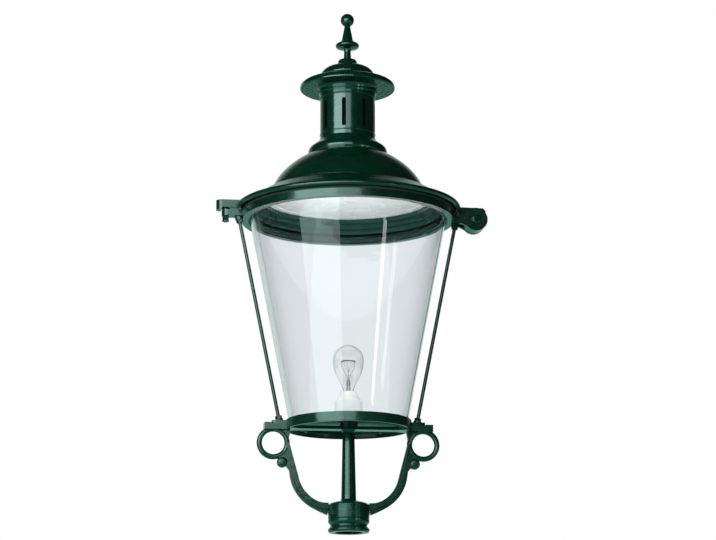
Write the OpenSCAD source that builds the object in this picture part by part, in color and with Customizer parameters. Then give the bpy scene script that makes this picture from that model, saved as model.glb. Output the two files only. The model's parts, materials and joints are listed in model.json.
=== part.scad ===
// Post-top street lantern: cast fork, tapering glass and a hinged roof
// Millimetres. Origin at the centre of the socket's mouth, +Z up.
// The roof hinges on the +X side and its latch is on the -X side.

/* [Post socket] */
// Bore that slips over the post top
socket_bore_d = 60.5; // [56:0.5:62]
// Depth of the bore
socket_depth = 50; // [44:1:52]
// Diameter of the hub's body
hub_d = 89.5; // [87:0.5:96]
// Height of the hub's straight body
hub_body_h = 59; // [58:1:66]
// Height of the domed shoulder above the body
shoulder_h = 9; // [7:1:14]
// Depth of the waist below the body's surface
waist_in = 4.5; // [2:0.5:6]
// How far the foot bead stands out from the body
foot_out = 0.3; // [0:0.1:3]
// Diameter of the grub screws that grip the post
grub_d = 8; // [6:1:10]
// Number of grub screws
grub_count = 3; // [3:1:4]

/* [Fork arms] */
// Distance between the centres of the two eyes
eye_span = 329; // [324:1:340]
// Height of the eye centres above the socket's mouth
eye_z = 192.5; // [186:0.5:204]
// Diameter of the hole in each eye
eye_hole_d = 49; // [44:0.5:52]
// Thickness of the bar round the eye
eye_bar = 11.5; // [9:0.5:12.5]
// Thickness of arms and eyes from front to back
arm_t = 14; // [12:0.5:18]
// Width of the arm seen from the front
arm_w = 18; // [15:0.5:22]
// Height at which the arm leaves the hub
arm_root_z = 51; // [49:0.5:53]
// Height of the knee where the arm turns straight
knee_z = 118; // [112:1:128]
// How far the rib stands out of the arm's face
rib_out = 2.5; // [1.5:0.5:4]
// Width of the rib
rib_w = 6; // [4:0.5:9]
// Width added to the arm where it meets the hub
root_flare = 9; // [4:0.5:11]
// Diameter of the boss under the eye
knob_d = 23; // [18:0.5:25]
// Width of the pad over the eye, front to back
pad_w = 32; // [28:1:38]
// Thickness of the pad
pad_t = 12; // [9:0.5:13]
// Diameter of the screws that hold the arms on the hub
arm_screw_d = 6; // [5:0.5:8]

/* [Stem and bottom ring] */
// Diameter of the stem where it leaves the hub
stem_bottom_d = 32.4; // [30:0.2:36]
// Diameter of the stem under the crossbar
stem_top_d = 26.4; // [25:0.2:30]
// Bore of the stem for the supply cable
cable_bore_d = 14; // [10:0.5:15]
// Diameter of the threaded nipple at the top of the stem
nipple_d = 20; // [19:0.5:22]
// Outer diameter of the bottom ring
ring_d = 275; // [268:1:284]
// Height of the bottom ring
ring_h = 21; // [19:0.5:26]
// Thickness of the bottom ring's wall
ring_wall = 5.3; // [4:0.1:6.5]
// How far the ring hangs below the top of the pads
ring_drop = 10; // [8:0.5:13]
// Thickness of the crossbar
bar_t = 7; // [6:0.5:9]
// Width of the crossbar
bar_w = 28; // [24:1:36]
// Thickness of the lugs that sit on the pads
lug_t = 8; // [6:0.5:10]
// Thickness of the closing pan
pan_t = 2; // [1.5:0.1:3]

/* [Glass] */
// Height of the glass cone
glass_h = 460; // [430:1:490]
// Thickness of the glass
glass_t = 4; // [3:0.5:5]
// Gasket between the glass and the ring's wall
glass_seal = 3.1; // [2.5:0.1:4]
// Depth to which the gaskets grip the glass
seal_grip = 5; // [4:0.5:8]
// Gasket under and over the edges of the glass
seal_floor = 2; // [1.5:0.1:3]

/* [Top ring and stays] */
// Outer diameter of the top ring
top_ring_d = 472; // [466:1:480]
// Height of the top ring
top_ring_h = 17; // [16:0.5:22]
// Thickness of the top ring's wall
top_wall = 5; // [4:0.5:7]
// Distance from the ring's outside in to the glass's outer edge
glass_inset = 17.5; // [16:0.1:20]
// How far the glass reaches up into the top ring
glass_into = 8; // [7:0.5:9]
// Thickness of the lip that presses on the glass
lip_t = 5; // [4:0.5:7]
// Diameter of the stays
stay_d = 8; // [7:0.5:9]
// How far the stays stand off the bottom ring
stay_foot_out = 12.5; // [12:0.5:15]
// How far the stays stand off the top ring
stay_head_out = 6; // [6:0.5:8]
// Width across the flats of the stay nuts
stay_nut_af = 13; // [12:0.5:15]

/* [Hinge] */
// Distance of the hinge pin from the outside of the top ring
hinge_out = 50; // [49:0.5:57]
// Height of the hinge pin above the ring's underside
hinge_rise = 10; // [8:0.5:12]
// Diameter of the hinge pin
pin_d = 12; // [10:0.5:14]
// Radial clearance between the pin and the roof's knuckle
pin_clear = 0.06; // [0.03:0.01:0.09]
// Radius of the hinge ears
ear_r = 26; // [24:0.5:28]
// Thickness of each ear
ear_t = 9; // [7:0.5:12]
// Width of the roof's knuckle
knuckle_w = 24; // [20:1:30]
// Clearance on each side of the knuckle
knuckle_gap = 0.3; // [0.2:0.05:0.5]

/* [Latch] */
// Distance of the latch spindle from the outside of the top ring
latch_out = 36; // [33:0.5:40]
// Diameter of the latch spindle
spindle_d = 8; // [7:0.5:9]
// Radial clearance of the spindle in its lug
spindle_clear = 0.06; // [0.03:0.01:0.09]
// Length of the T-head
tee_l = 20; // [18:0.5:22]
// Width of the T-head
tee_w = 9; // [8.5:0.1:9.6]
// Thickness of the T-head
tee_t = 6; // [4:0.5:8]
// Space round the T-head in its slot
slot_clear = 1; // [0.8:0.1:1.5]
// Length of the bar handle
wing_l = 30; // [24:1:33]
// Thickness of the bar handle
wing_t = 8; // [5:0.5:9]
// Height of the bar handle
wing_h = 8.4; // [7:0.2:10]
// Width of the latch lugs, front to back
latch_w = 28; // [26:1:34]

/* [Roof] */
// Thickness of the gasket between the roof and the top ring
hood_seal = 4.8; // [3:0.1:6]
// How far the brim reaches beyond the top ring
brim_over = 14; // [13:0.5:17]
// Radius of the bead along the brim's edge
bead_r = 6; // [5:0.5:7]
// Height from the brim's seat to the foot of the dome
brim_h = 46; // [44:1:50]
// Thickness of the cast brim
brim_t = 3; // [2.5:0.5:4]
// Diameter of the foot of the dome
dome_d = 339; // [335:1:346]
// Height of the dome
dome_h = 83; // [78:1:92]
// Thickness of the spun dome
sheet_t = 2.5; // [2:0.1:3]
// Diameter of the foot of the shoulder collar
collar_d = 176; // [170:1:184]
// Height of the shoulder collar
collar_h = 37; // [34:1:44]
// Height of the reflector plate above the brim's seat
reflector_rise = 29; // [26:0.5:30]
// Distance from the top ring's outside in to the reflector's rim
reflector_in = 48; // [46:0.5:54]
// Number of steps in the inner skirt
skirt_steps = 3; // [3:1:5]
// Wall of the inner skirt and thickness of the reflector
skirt_t = 1.2; // [1:0.1:1.6]

/* [Chimney and cap] */
// Outer diameter of the chimney tube
chimney_d = 123; // [119:0.5:126]
// Wall of the chimney tube
chimney_t = 2.8; // [2:0.1:4]
// Height of the chimney tube
chimney_h = 126; // [120:1:138]
// Number of slots round the chimney
slot_count = 8; // [6:1:10]
// Angle of the first slot from the +X axis
slot_phase = 29.5; // [0:0.5:45]
// Width of the slots
slot_w = 9; // [7:0.5:11]
// Height of the slots
slot_h = 65; // [58:1:72]
// Height of the slots' lower ends above the chimney's foot
slot_rise = 17; // [16:1:24]
// Diameter of the flange
flange_d = 213; // [203:1:220]
// Height of the flange above its vent plate
flange_h = 29.5; // [27:0.5:34]
// Number of holes in each row of the vent plate
vent_count = 30; // [24:1:36]
// Diameter of the vent holes
vent_d = 5; // [4:0.5:6]
// Height of the neck ring round the chimney
neck_h = 24; // [20:0.5:27]
// Height of the cap dome
cap_h = 22.5; // [19:0.5:28]
// Height of the finial
finial_h = 125.5; // [118:0.5:134]
// Diameter of the ball on the finial
finial_ball_d = 30.4; // [27:0.2:33]
// Diameter of the disc on the finial
finial_disc_d = 53; // [48:0.5:58]
// Diameter of the tie rod
tie_d = 10; // [8:0.5:12]

/* [Lamp] */
// Outer diameter of the plinth under the lampholder
plinth_d = 62; // [60:0.5:68]
// Height of the plinth
plinth_h = 48; // [46:0.5:54]
// Diameter of the lamp's screw cap
cap_d = 26.2; // [25:0.2:27]
// Height of the lampholder above the plinth
holder_rise = 21; // [19:0.5:25]
// Depth of the lampholder's cavity
holder_depth = 34; // [32:0.5:36]
// Diameter of the bulb
bulb_d = 68; // [60:0.5:76]
// Height of the bulb above the lampholder
bulb_h = 104; // [98:1:114]
// Thickness of the bulb's glass
bulb_t = 1.2; // [0.8:0.1:1.6]

/* [Hidden] */
$fn = 96;

// Colours
iron = "#12382e";
iron_dark = "#0a241d";
steel = "#9aa09e";
black_rubber = "#1b1d1c";

// A cut reaches this far past the face it leaves
eps = 1;
// Slip between a fixed fastener and its hole
slip = 0.1;
// Gap kept between surfaces that only come close
air = 0.3;

// Hub
hub_r = hub_d / 2;
bore_r = socket_bore_d / 2;
hub_h = hub_body_h + shoulder_h;
spigot_r = cable_bore_d / 2 + 4.5;
grub_z = 40;
foot_top = 10;
waist_z = 15;
groove_z = 29;
groove_half = 1.2;

// Eyes, arms and pads
eye_x = eye_span / 2;
eye_r = eye_hole_d / 2;
eye_ro = eye_r + eye_bar;
pad_top = eye_z + eye_ro + 4.5;
pad_x0 = eye_x - eye_ro + 1;
pad_x1 = eye_x + 20;
knob_c = [eye_x - 19.5, eye_z - 42];
arm_end = [eye_x - eye_r - eye_bar / 2, eye_z];
knee = [arm_end[0] - 15.7, knee_z];
root = [hub_r, arm_root_z];
arm_screw_z = arm_root_z - 5;
arm_screw_l = 26;
arm_screw_x = bore_r + 1.2;
arm_head_t = 4.8;

// Bottom ring
ring_r = ring_d / 2;
ring_z0 = pad_top - ring_drop;
ring_z1 = ring_z0 + ring_h;
ring_ri = ring_r - ring_wall;
flange_z1 = ring_z0 + 13;
flange_t = 6;
flange_ri = ring_ri - 20;
boss_r = nipple_d / 2 + 10;
pan_top = flange_z1 + pan_t;

// Glass
glass_z0 = flange_z1 + seal_floor;
glass_z1 = glass_z0 + glass_h;
top_ring_r = top_ring_d / 2;
glass_r0 = ring_ri - glass_seal;
glass_r1 = top_ring_r - glass_inset;
glass_slope = (glass_r1 - glass_r0) / glass_h;
glass_across = glass_t * sqrt(1 + glass_slope * glass_slope);
seal_leg = 2.5;
pan_r = glass_r0 - glass_across - seal_leg - 0.4;

// Top ring
top_z0 = glass_z1 - glass_into;
top_z1 = top_z0 + top_ring_h;
lip_z0 = glass_z1 + seal_floor;
lip_ri = glass_r1 - glass_across - seal_leg + 0.5;
seat_r = glass_r1 + seal_leg;

// Stays lean outwards from foot to head
stay_foot = [ring_r + stay_foot_out, pad_top];
stay_head = [top_ring_r + stay_head_out, top_z0];
stay_run = norm(stay_head - stay_foot);
stay_lean = atan2(stay_head[0] - stay_foot[0], stay_head[1] - stay_foot[1]);
stay_boss_r = stay_nut_af / 2 + 2.5;
stay_nut_h = 7;
foot_boss_s = lug_t + 4;
head_boss_s = -3.5;
stay_in_pad = 9;
stay_in_lug = 12;

// Hinge
hinge_x = top_ring_r + hinge_out;
hinge_z = top_z0 + hinge_rise;
knuckle_r = ear_r - 0.5;
ear_y = knuckle_w / 2 + knuckle_gap;
pin_r = pin_d / 2;
pin_head_r = pin_r + 4;
pin_head_t = 5;

// Latch
latch_x = top_ring_r + latch_out;
spindle_r = spindle_d / 2;
latch_lug_t = 13;
latch_lug_z0 = top_z1 - latch_lug_t;
latch_end_r = latch_w / 2;
play = 0.2;
collar_top_r = spindle_r + 3;
wing_z1 = latch_lug_z0 - play;
wing_z0 = wing_z1 - wing_h;
latch_nut_h = 4;

// Roof levels
seat_z = top_z1 + hood_seal + play;
brim_r = top_ring_r + brim_over;
dome_r = dome_d / 2;
dome_z0 = seat_z + brim_h;
dome_z1 = dome_z0 + dome_h;
collar_r = collar_d / 2;
chimney_r = chimney_d / 2;
chimney_z0 = dome_z1 + collar_h;
chimney_z1 = chimney_z0 + chimney_h;
neck_z1 = chimney_z1 - 9.5;
neck_z0 = neck_z1 - neck_h;
plate_z0 = neck_z1;
plate_z1 = plate_z0 + 2;
flange_r = flange_d / 2;
cap_z0 = plate_z0 + flange_h + 2;
cap_z1 = cap_z0 + cap_h;
reflector_z = seat_z + reflector_rise;
reflector_r = top_ring_r - reflector_in;
roof_lug_z1 = seat_z + 17;
roof_lug_x = latch_x + 7;
nose_z0 = seat_z - 4.5;
pocket_z0 = roof_lug_z1 - tee_t - 2 * air;
tee_z0 = pocket_z0 + air;
tee_z1 = tee_z0 + tee_t;
rib_r = top_ring_r;
rib_ri = rib_r - top_wall - 0.2;
ledge_r = dome_r - 16;
ledge_t = 6;
dome_bolt_r = ledge_r + 6;
edge_c = [brim_r - bead_r, seat_z - 1 + bead_r];
skirt_r0 = rib_ri - 0.2;
skirt_r1 = reflector_r + 0.5;
skirt_z0 = seat_z + air;
skirt_z1 = reflector_z + skirt_t;
skirt_band = 9;
skirt_screw_z = skirt_z0 + 5.5;
vent_hole_r = 60;
bridge_t = 6.5;
bridge_w = 24;
bridge_z0 = dome_z1 - sheet_t - bridge_t;
tie_nut_h = 8;
liner_r = chimney_r - chimney_t - 7.5;
liner_z0 = bridge_z0 + bridge_t;
tie_z0 = bridge_z0 - tie_nut_h - 6;
tie_z1 = cap_z1 + 40;

// Lamp
plinth_r = plinth_d / 2;
plinth_t = 3;
plinth_screw_r = plinth_r - 7;
plinth_z1 = pan_top + plinth_h;
holder_r = 20;
holder_z0 = plinth_z1 - 24;
holder_z1 = plinth_z1 + holder_rise;
cavity_z0 = holder_z1 - holder_depth;
cap_r = cap_d / 2;
cap_gap = 1;
lamp_foot_z = cavity_z0 + 6.7;
cap_top_z = holder_z1 - 1;
bulb_r = bulb_d / 2;
bulb_top = holder_z1 + bulb_h;
neck_r = cap_r - 0.6;
bulb_neck_r = neck_r - 2.1;
gland_r = 12;
gland_z0 = pan_top + 6;
terminal_z1 = pan_top + 13;
block_pitch = 9;
block_t = 7.5;
block_y = block_t / 2 + 5 - plinth_r;
stud_x = 9;
wire_d = 2.4;

function bez(a, b, c, d, n) =
    [for (i = [0 : n]) let (t = i / n, u = 1 - t)
        u * u * u * a + 3 * u * u * t * b + 3 * u * t * t * c + t * t * t * d];
function arc_pts(c, r, a0, a1, n) =
    [for (i = [0 : n]) let (a = a0 + (a1 - a0) * i / n) c + r * [cos(a), sin(a)]];
function unit(v) = v / norm(v);
function along(p, i) = unit(p[min(i + 1, len(p) - 1)] - p[max(i - 1, 0)]);
function side(p, i) = [along(p, i)[1], -along(p, i)[0]];
function beside(p, w) = [for (i = [0 : len(p) - 1]) p[i] + w * side(p, i)];
function back(p) = [for (i = [len(p) - 1 : -1 : 0]) p[i]];
function tapered(p, w) = [for (i = [0 : len(p) - 1]) p[i] + w[i] * side(p, i)];
function glass_r(z) = glass_r0 + (z - glass_z0) * glass_slope;

module ring(ro, ri, z0, z1) {
    translate([0, 0, z0])
        difference() {
            cylinder(h = z1 - z0, r = ro);
            translate([0, 0, -eps]) cylinder(h = z1 - z0 + 2 * eps, r = ri);
        }
}

// A shape drawn in X and Z, as thick as t about Y = 0
module upright(t) {
    rotate([90, 0, 0]) translate([0, 0, -t / 2]) linear_extrude(height = t) children();
}

module box(x0, x1, w, z0, z1) {
    translate([x0, -w / 2, z0]) cube([x1 - x0, w, z1 - z0]);
}

// Places children on a stay's own axis, s along it from the foot
module on_stay(s) {
    translate([stay_foot[0], 0, stay_foot[1]]) rotate([0, stay_lean, 0]) translate([0, 0, s]) children();
}

module hex_nut(af, h, hole_d) {
    difference() {
        cylinder(h = h, d = af / cos(30), $fn = 6);
        translate([0, 0, -eps]) cylinder(h = h + 2 * eps, d = hole_d);
    }
}

// Pan-head screw, head up, its seat at z = 0
module pan_screw(d, l) {
    head_r = 0.95 * d;
    translate([0, 0, -l]) cylinder(h = l, d = d);
    difference() {
        cylinder(h = 0.6 * d, r1 = head_r, r2 = 0.8 * head_r);
        translate([0, 0, 0.6 * d - 1]) box(-head_r, head_r, 0.2 * d, 0, 2);
    }
}

// Fork

module hub_outline() {
    polygon(concat(
        [[0, 0], [hub_r - 2, 0], [hub_r + foot_out, 3.5], [hub_r + foot_out, foot_top - 3],
            [hub_r - waist_in, foot_top + 2.5], [hub_r - waist_in, waist_z + 1.5],
            [hub_r - 0.5, waist_z + 6], [hub_r, waist_z + 8], [hub_r, groove_z - groove_half],
            [hub_r - 1.5, groove_z], [hub_r, groove_z + groove_half], [hub_r, hub_body_h]],
        bez([hub_r, hub_body_h], [hub_r - 2, hub_body_h + 0.55 * shoulder_h],
            [stem_bottom_d / 2 + 12, hub_h - 1], [stem_bottom_d / 2 + 3, hub_h], 8),
        [[0, hub_h]]));
}

module fork_hub() {
    color(iron)
        difference() {
            rotate_extrude() hub_outline();
            translate([0, 0, -eps]) cylinder(h = socket_depth + eps, r = bore_r);
            cylinder(h = hub_h + eps, r = spigot_r);
            for (k = [0 : grub_count - 1]) rotate([0, 0, 90 + 360 * k / grub_count]) translate([0, 0, grub_z])
                rotate([0, 90, 0]) cylinder(h = hub_r + eps, d = grub_d);
            for (m = [0, 180]) rotate([0, 0, m]) translate([0, 0, arm_screw_z]) rotate([0, 90, 0]) {
                cylinder(h = hub_r + eps, d = arm_screw_d + slip);
                translate([0, 0, bore_r - 4])
                    cylinder(h = 4 + arm_screw_x + arm_head_t - bore_r, d = 1.6 * arm_screw_d);
            }
        }
}

module grub_screws() {
    color(steel)
        for (k = [0 : grub_count - 1]) rotate([0, 0, 90 + 360 * k / grub_count]) translate([0, 0, grub_z])
            rotate([0, 90, 0]) translate([0, 0, bore_r + air])
                difference() {
                    cylinder(h = hub_r - bore_r - 1.3, d = grub_d);
                    translate([0, 0, hub_r - bore_r - 5.3]) cylinder(h = 4 + eps, d = 0.5 * grub_d, $fn = 6);
                }
}

// Point just inside the outer edge of the eye, at an angle from the +X axis
function eye_edge(a) = [eye_x, eye_z] + (eye_ro - 2) * [cos(a), sin(a)];

arm_path = concat(
    bez(root, root + [34, 5], knee - 40 * unit(arm_end - knee), knee, 14),
    [arm_end]);

// The arm flares into the hub and narrows to the bar of the eye
module arm_outline(w, flare, tip) {
    last = len(arm_path) - 1;
    half = [for (i = [0 : last]) (i == last ? tip : w + flare * pow(max(0, 1 - i / 5), 2)) / 2];
    polygon(concat(tapered(arm_path, half), back(tapered(arm_path, -half))));
}

// Boss with rounded faces, as long as l about Y = 0
module knob(d, l, edge) {
    rotate([90, 0, 0]) rotate_extrude() polygon(concat([[0, -l / 2]],
        arc_pts([d / 2 - edge, edge - l / 2], edge, -90, 0, 6),
        arc_pts([d / 2 - edge, l / 2 - edge], edge, 0, 90, 6), [[0, l / 2]]));
}

module fork_arm() {
    difference() {
        union() {
            upright(arm_t - 1) arm_outline(arm_w - 2, root_flare, eye_bar - 4);
            upright(arm_t - 4) arm_outline(arm_w, root_flare, eye_bar - 2);
            upright(arm_t + 2 * rib_out) arm_outline(rib_w, 0, rib_w - 1);
            translate([eye_x, 0, eye_z]) rotate([90, 0, 0]) rotate_extrude()
                polygon(concat(arc_pts([eye_r + eye_bar / 2, (arm_t - eye_bar) / 2], eye_bar / 2, 0, 180, 8),
                    arc_pts([eye_r + eye_bar / 2, (eye_bar - arm_t) / 2], eye_bar / 2, 180, 360, 8)));
            translate([knob_c[0], 0, knob_c[1]]) knob(knob_d, arm_t + 6, 6);
            box(pad_x0, pad_x1 - 3, pad_w, pad_top - pad_t, pad_top);
            box(stay_foot[0] + 18 + air, pad_x1, pad_w, pad_top - pad_t, pad_top + 3);
            difference() {
                upright(arm_t - 2) {
                    polygon([[pad_x0, pad_top - 1], [pad_x0 - 1, pad_top - pad_t - 8],
                        [arm_end[0] - 2, eye_z + 4], [eye_x, pad_top - pad_t - 2], [eye_x, pad_top - 1]]);
                    polygon([[eye_x, pad_top - 1], [pad_x1 - 1, pad_top - 1], [pad_x1 - 1, pad_top - pad_t],
                        eye_edge(38), eye_edge(70)]);
                    polygon([arm_end, eye_edge(250), knob_c, knee + [4, 8]]);
                }
                translate([eye_x, 0, eye_z]) rotate([90, 0, 0]) translate([0, 0, -arm_t])
                    cylinder(h = 2 * arm_t, r = eye_r + 1.5);
            }
        }
        cylinder(h = 2 * hub_h, r = hub_r);
        translate([0, 0, ring_z0]) cylinder(h = 2 * ring_h, r = ring_r + 0.2);
        translate([0, 0, arm_screw_z]) rotate([0, 90, 0])
            cylinder(h = arm_screw_x + arm_screw_l + 1, d = arm_screw_d + slip);
        on_stay(-stay_in_pad - 0.5) cylinder(h = 3 * stay_in_pad, d = stay_d + slip);
    }
}

module fork_arm_right() {
    color(iron) fork_arm();
}

module fork_arm_left() {
    color(iron) rotate([0, 0, 180]) fork_arm();
}

module arm_screws() {
    color(steel)
        for (m = [0, 180]) rotate([0, 0, m]) translate([arm_screw_x, 0, arm_screw_z]) rotate([0, 90, 0])
            difference() {
                union() {
                    cylinder(h = arm_head_t, d = 1.5 * arm_screw_d);
                    cylinder(h = arm_screw_l, d = arm_screw_d);
                }
                translate([0, 0, -eps]) cylinder(h = 3 + eps, d = 0.7 * arm_screw_d, $fn = 6);
            }
}

module centre_stem() {
    stem_top = ring_z0;
    color(iron)
        difference() {
            rotate_extrude() polygon([[0, socket_depth + 2], [spigot_r, socket_depth + 2], [spigot_r, hub_h],
                [stem_bottom_d / 2 + 2.5, hub_h], [stem_bottom_d / 2 + 0.6, hub_h + 3],
                [stem_bottom_d / 2, hub_h + 7], [stem_top_d / 2, stem_top - 5],
                [stem_top_d / 2 + 3, stem_top], [nipple_d / 2, stem_top], [nipple_d / 2, gland_z0 + 2],
                [0, gland_z0 + 2]]);
            translate([0, 0, socket_depth]) cylinder(h = gland_z0, d = cable_bore_d);
        }
}

module stem_nut() {
    color(steel) translate([0, 0, pan_top]) hex_nut(1.5 * nipple_d, gland_z0 - pan_top, nipple_d + slip);
}

module cable_gland() {
    color("#d8d6cf")
        difference() {
            union() {
                ring(gland_r + 1, nipple_d / 2 + slip / 2, gland_z0, gland_z0 + 2);
                ring(gland_r, 5, gland_z0 + 2, gland_z0 + 7);
            }
            for (k = [0 : 5]) rotate([0, 0, 60 * k]) translate([gland_r, 0, gland_z0 + 3])
                cylinder(h = 5, d = 2.5);
        }
}

// Bottom ring and what closes it

module bottom_ring() {
    color(iron)
        difference() {
            union() {
                ring(ring_r, ring_ri, ring_z0 + 1.5, ring_z1 - 1.5);
                ring(ring_r - 1.5, ring_ri, ring_z0, ring_z1);
                ring(ring_ri + 1, flange_ri, flange_z1 - flange_t, flange_z1);
                difference() {
                    union() {
                        box(-ring_ri - 1, ring_ri + 1, bar_w, ring_z0, ring_z0 + bar_t);
                        for (m = [0, 180]) rotate([0, 0, m]) translate([0, 0, ring_z0])
                            linear_extrude(height = bar_t) polygon([[ring_ri - 26, -bar_w / 2], [ring_ri - 2, -bar_w / 2 - 12],
                                [ring_ri - 2, bar_w / 2 + 12], [ring_ri - 26, bar_w / 2]]);
                    }
                    ring(2 * ring_r, ring_ri + 0.5, 0, ring_z1);
                }
                translate([0, 0, ring_z0]) cylinder(h = flange_z1 - ring_z0, r = boss_r);
                for (m = [0, 180]) rotate([0, 0, m]) {
                    difference() {
                        union() {
                            box(ring_ri + 2, stay_foot[0] + 8, pad_w - 4, pad_top, pad_top + lug_t);
                            translate([stay_foot[0] + 8, 0, pad_top]) cylinder(h = lug_t, d = pad_w - 4);
                        }
                        ring(3 * ring_r, stay_foot[0] + 18, 0, 2 * pad_top);
                    }
                    on_stay(3) cylinder(h = foot_boss_s - 3, r = stay_boss_r);
                }
            }
            cylinder(h = 2 * ring_z1, d = nipple_d + slip);
            for (m = [0, 180]) rotate([0, 0, m]) on_stay(-5) cylinder(h = 30, d = stay_d + slip);
            for (k = [0 : 3]) rotate([0, 0, 45 + 90 * k]) translate([pan_r - 5.5, 0, flange_z1 - flange_t - eps])
                cylinder(h = flange_t + 2 * eps, d = 5 + slip);
        }
}

module bottom_pan() {
    color(iron_dark)
        difference() {
            union() {
                translate([0, 0, flange_z1]) cylinder(h = pan_t, r = pan_r);
                rotate_extrude() translate([pan_r - 14, pan_top]) circle(r = 1.2);
            }
            translate([0, 0, flange_z1 - eps]) cylinder(h = 2 * pan_t + 2 * eps, d = nipple_d + slip);
            for (k = [0 : 3]) rotate([0, 0, 45 + 90 * k]) translate([pan_r - 5.5, 0, flange_z1 - eps])
                cylinder(h = 2 * pan_t + 2 * eps, d = 5 + slip);
            for (k = [0 : 2]) rotate([0, 0, 90 + 120 * k]) translate([plinth_screw_r, 0, flange_z1 - eps])
                cylinder(h = 2 * pan_t + 2 * eps, d = 4 + slip);
            translate([0, plinth_r + 14, flange_z1 - eps]) cylinder(h = 2 * pan_t + 2 * eps, d = 5 + slip);
        }
}

module pan_screws() {
    color(steel)
        for (k = [0 : 3]) rotate([0, 0, 45 + 90 * k]) translate([pan_r - 5.5, 0, pan_top])
            pan_screw(5, pan_t + flange_t + 1);
}

module earth_screw() {
    color("#b9963f") translate([0, plinth_r + 14, pan_top]) {
        ring(5.5, 2.5 + slip / 2, 0, 1.2);
        translate([0, 0, 1.2]) pan_screw(5, pan_t + 4);
    }
}

module bottom_gasket() {
    z1 = glass_z0 + seal_grip;
    color(black_rubber)
        rotate_extrude() polygon([[pan_r + 0.4, flange_z1], [ring_ri, flange_z1], [ring_ri, z1],
            [glass_r(z1), z1], [glass_r(glass_z0), glass_z0],
            [glass_r(glass_z0) - glass_across, glass_z0], [glass_r(z1) - glass_across, z1],
            [glass_r(z1) - glass_across - seal_leg, z1],
            [pan_r + 0.4, glass_z0]]);
}

module glass_cone() {
    color("#cfd8dc", 0.35)
        rotate_extrude() polygon([[glass_r0 - glass_across, glass_z0], [glass_r0, glass_z0],
            [glass_r1, glass_z1], [glass_r1 - glass_across, glass_z1]]);
}

module top_gasket() {
    z0 = glass_z1 - seal_grip;
    color(black_rubber)
        rotate_extrude() polygon([[glass_r(z0), z0], [seat_r, z0], [seat_r, lip_z0],
            [glass_r1 - glass_across - seal_leg, lip_z0], [glass_r(z0) - glass_across - seal_leg, z0],
            [glass_r(z0) - glass_across, z0], [glass_r1 - glass_across, glass_z1], [glass_r1, glass_z1]]);
}

// Top ring with its hinge ears and latch lug

module ear_outline() {
    translate([hinge_x, hinge_z]) circle(r = ear_r);
    polygon([[top_ring_r - 4, top_z0], [top_ring_r - 4, top_z1], [hinge_x - 0.7 * ear_r, top_z1 + 2],
        [hinge_x, hinge_z], [hinge_x - 0.77 * ear_r, hinge_z - 0.65 * ear_r],
        [top_ring_r + 0.7 * ear_r, top_z0 - 1]]);
}

module top_ring() {
    inner = top_ring_r - top_wall;
    color(iron)
        difference() {
            union() {
                ring(top_ring_r, inner, top_z0, top_z1);
                ring(inner + 1, seat_r, top_z0, lip_z0 + lip_t);
                ring(seat_r + 1, lip_ri, lip_z0, lip_z0 + lip_t);
                for (s = [-1, 1]) translate([0, s * (ear_y + ear_t / 2), 0]) upright(ear_t) ear_outline();
                box(top_ring_r - 4, stay_head[0] + 14, 2 * ear_y + 2, top_z0 + 2, top_z1 - 3);
                rotate([0, 0, 180]) {
                    box(top_ring_r - 4, latch_x - 5, latch_w, latch_lug_z0, top_z1);
                    translate([latch_x - 5, 0, latch_lug_z0]) cylinder(h = latch_lug_t, r = latch_end_r);
                }
                for (m = [0, 180]) rotate([0, 0, m]) on_stay(stay_run + head_boss_s)
                    cylinder(h = 10 - head_boss_s, r = stay_boss_r);
            }
            for (m = [0, 180]) rotate([0, 0, m]) on_stay(stay_run - 10) cylinder(h = 40, d = stay_d + slip);
            translate([hinge_x, 0, hinge_z]) rotate([90, 0, 0]) translate([0, 0, -2 * ear_y - ear_t])
                cylinder(h = 4 * ear_y + 2 * ear_t, d = pin_d);
            translate([-latch_x, 0, latch_lug_z0 - eps])
                cylinder(h = latch_lug_t + 2 * eps, r = spindle_r + spindle_clear);
        }
}

module hood_gasket() {
    color(black_rubber) ring(top_ring_r - 0.5, top_ring_r - top_wall, top_z1, top_z1 + hood_seal);
}

module stay_rod() {
    on_stay(-stay_in_pad) cylinder(h = stay_run + stay_in_pad + stay_in_lug, d = stay_d);
}

module stay_rod_right() {
    color(iron) stay_rod();
}

module stay_rod_left() {
    color(iron) rotate([0, 0, 180]) stay_rod();
}

module stay_nuts() {
    color(iron)
        for (m = [0, 180]) rotate([0, 0, m]) {
            on_stay(foot_boss_s) hex_nut(stay_nut_af, stay_nut_h, stay_d + slip);
            on_stay(stay_run + head_boss_s - stay_nut_h) hex_nut(stay_nut_af, stay_nut_h, stay_d + slip);
        }
}

module hinge_pin() {
    y_out = ear_y + ear_t;
    color(iron) translate([hinge_x, 0, hinge_z]) rotate([90, 0, 0]) {
        translate([0, 0, -y_out - 8]) cylinder(h = 2 * y_out + 8, d = pin_d);
        translate([0, 0, y_out]) rotate_extrude() polygon(concat([[0, 0], [pin_head_r, 0]],
            bez([pin_head_r, pin_head_t - 2], [pin_head_r, pin_head_t - 0.5],
                [pin_head_r - 2, pin_head_t], [pin_head_r - 4, pin_head_t], 6), [[0, pin_head_t]]));
    }
}

module hinge_nut() {
    y_out = ear_y + ear_t;
    color(iron) translate([hinge_x, 0, hinge_z]) rotate([-90, 0, 0]) {
        ring(pin_head_r + 1, pin_r + slip / 2, y_out, y_out + 1.5);
        translate([0, 0, y_out + 1.5]) difference() {
            union() {
                cylinder(h = 6, d = 1.6 * pin_d / cos(30), $fn = 6);
                translate([0, 0, 5]) rotate_extrude() polygon(concat([[0, 0]],
                    arc_pts([0, 0], 0.72 * pin_d, 0, 90, 8)));
            }
            translate([0, 0, -eps]) cylinder(h = 7.5 + eps, d = pin_d + slip);
        }
    }
}

// Latch: a T-head that passes the roof's slot and locks across it

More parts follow.
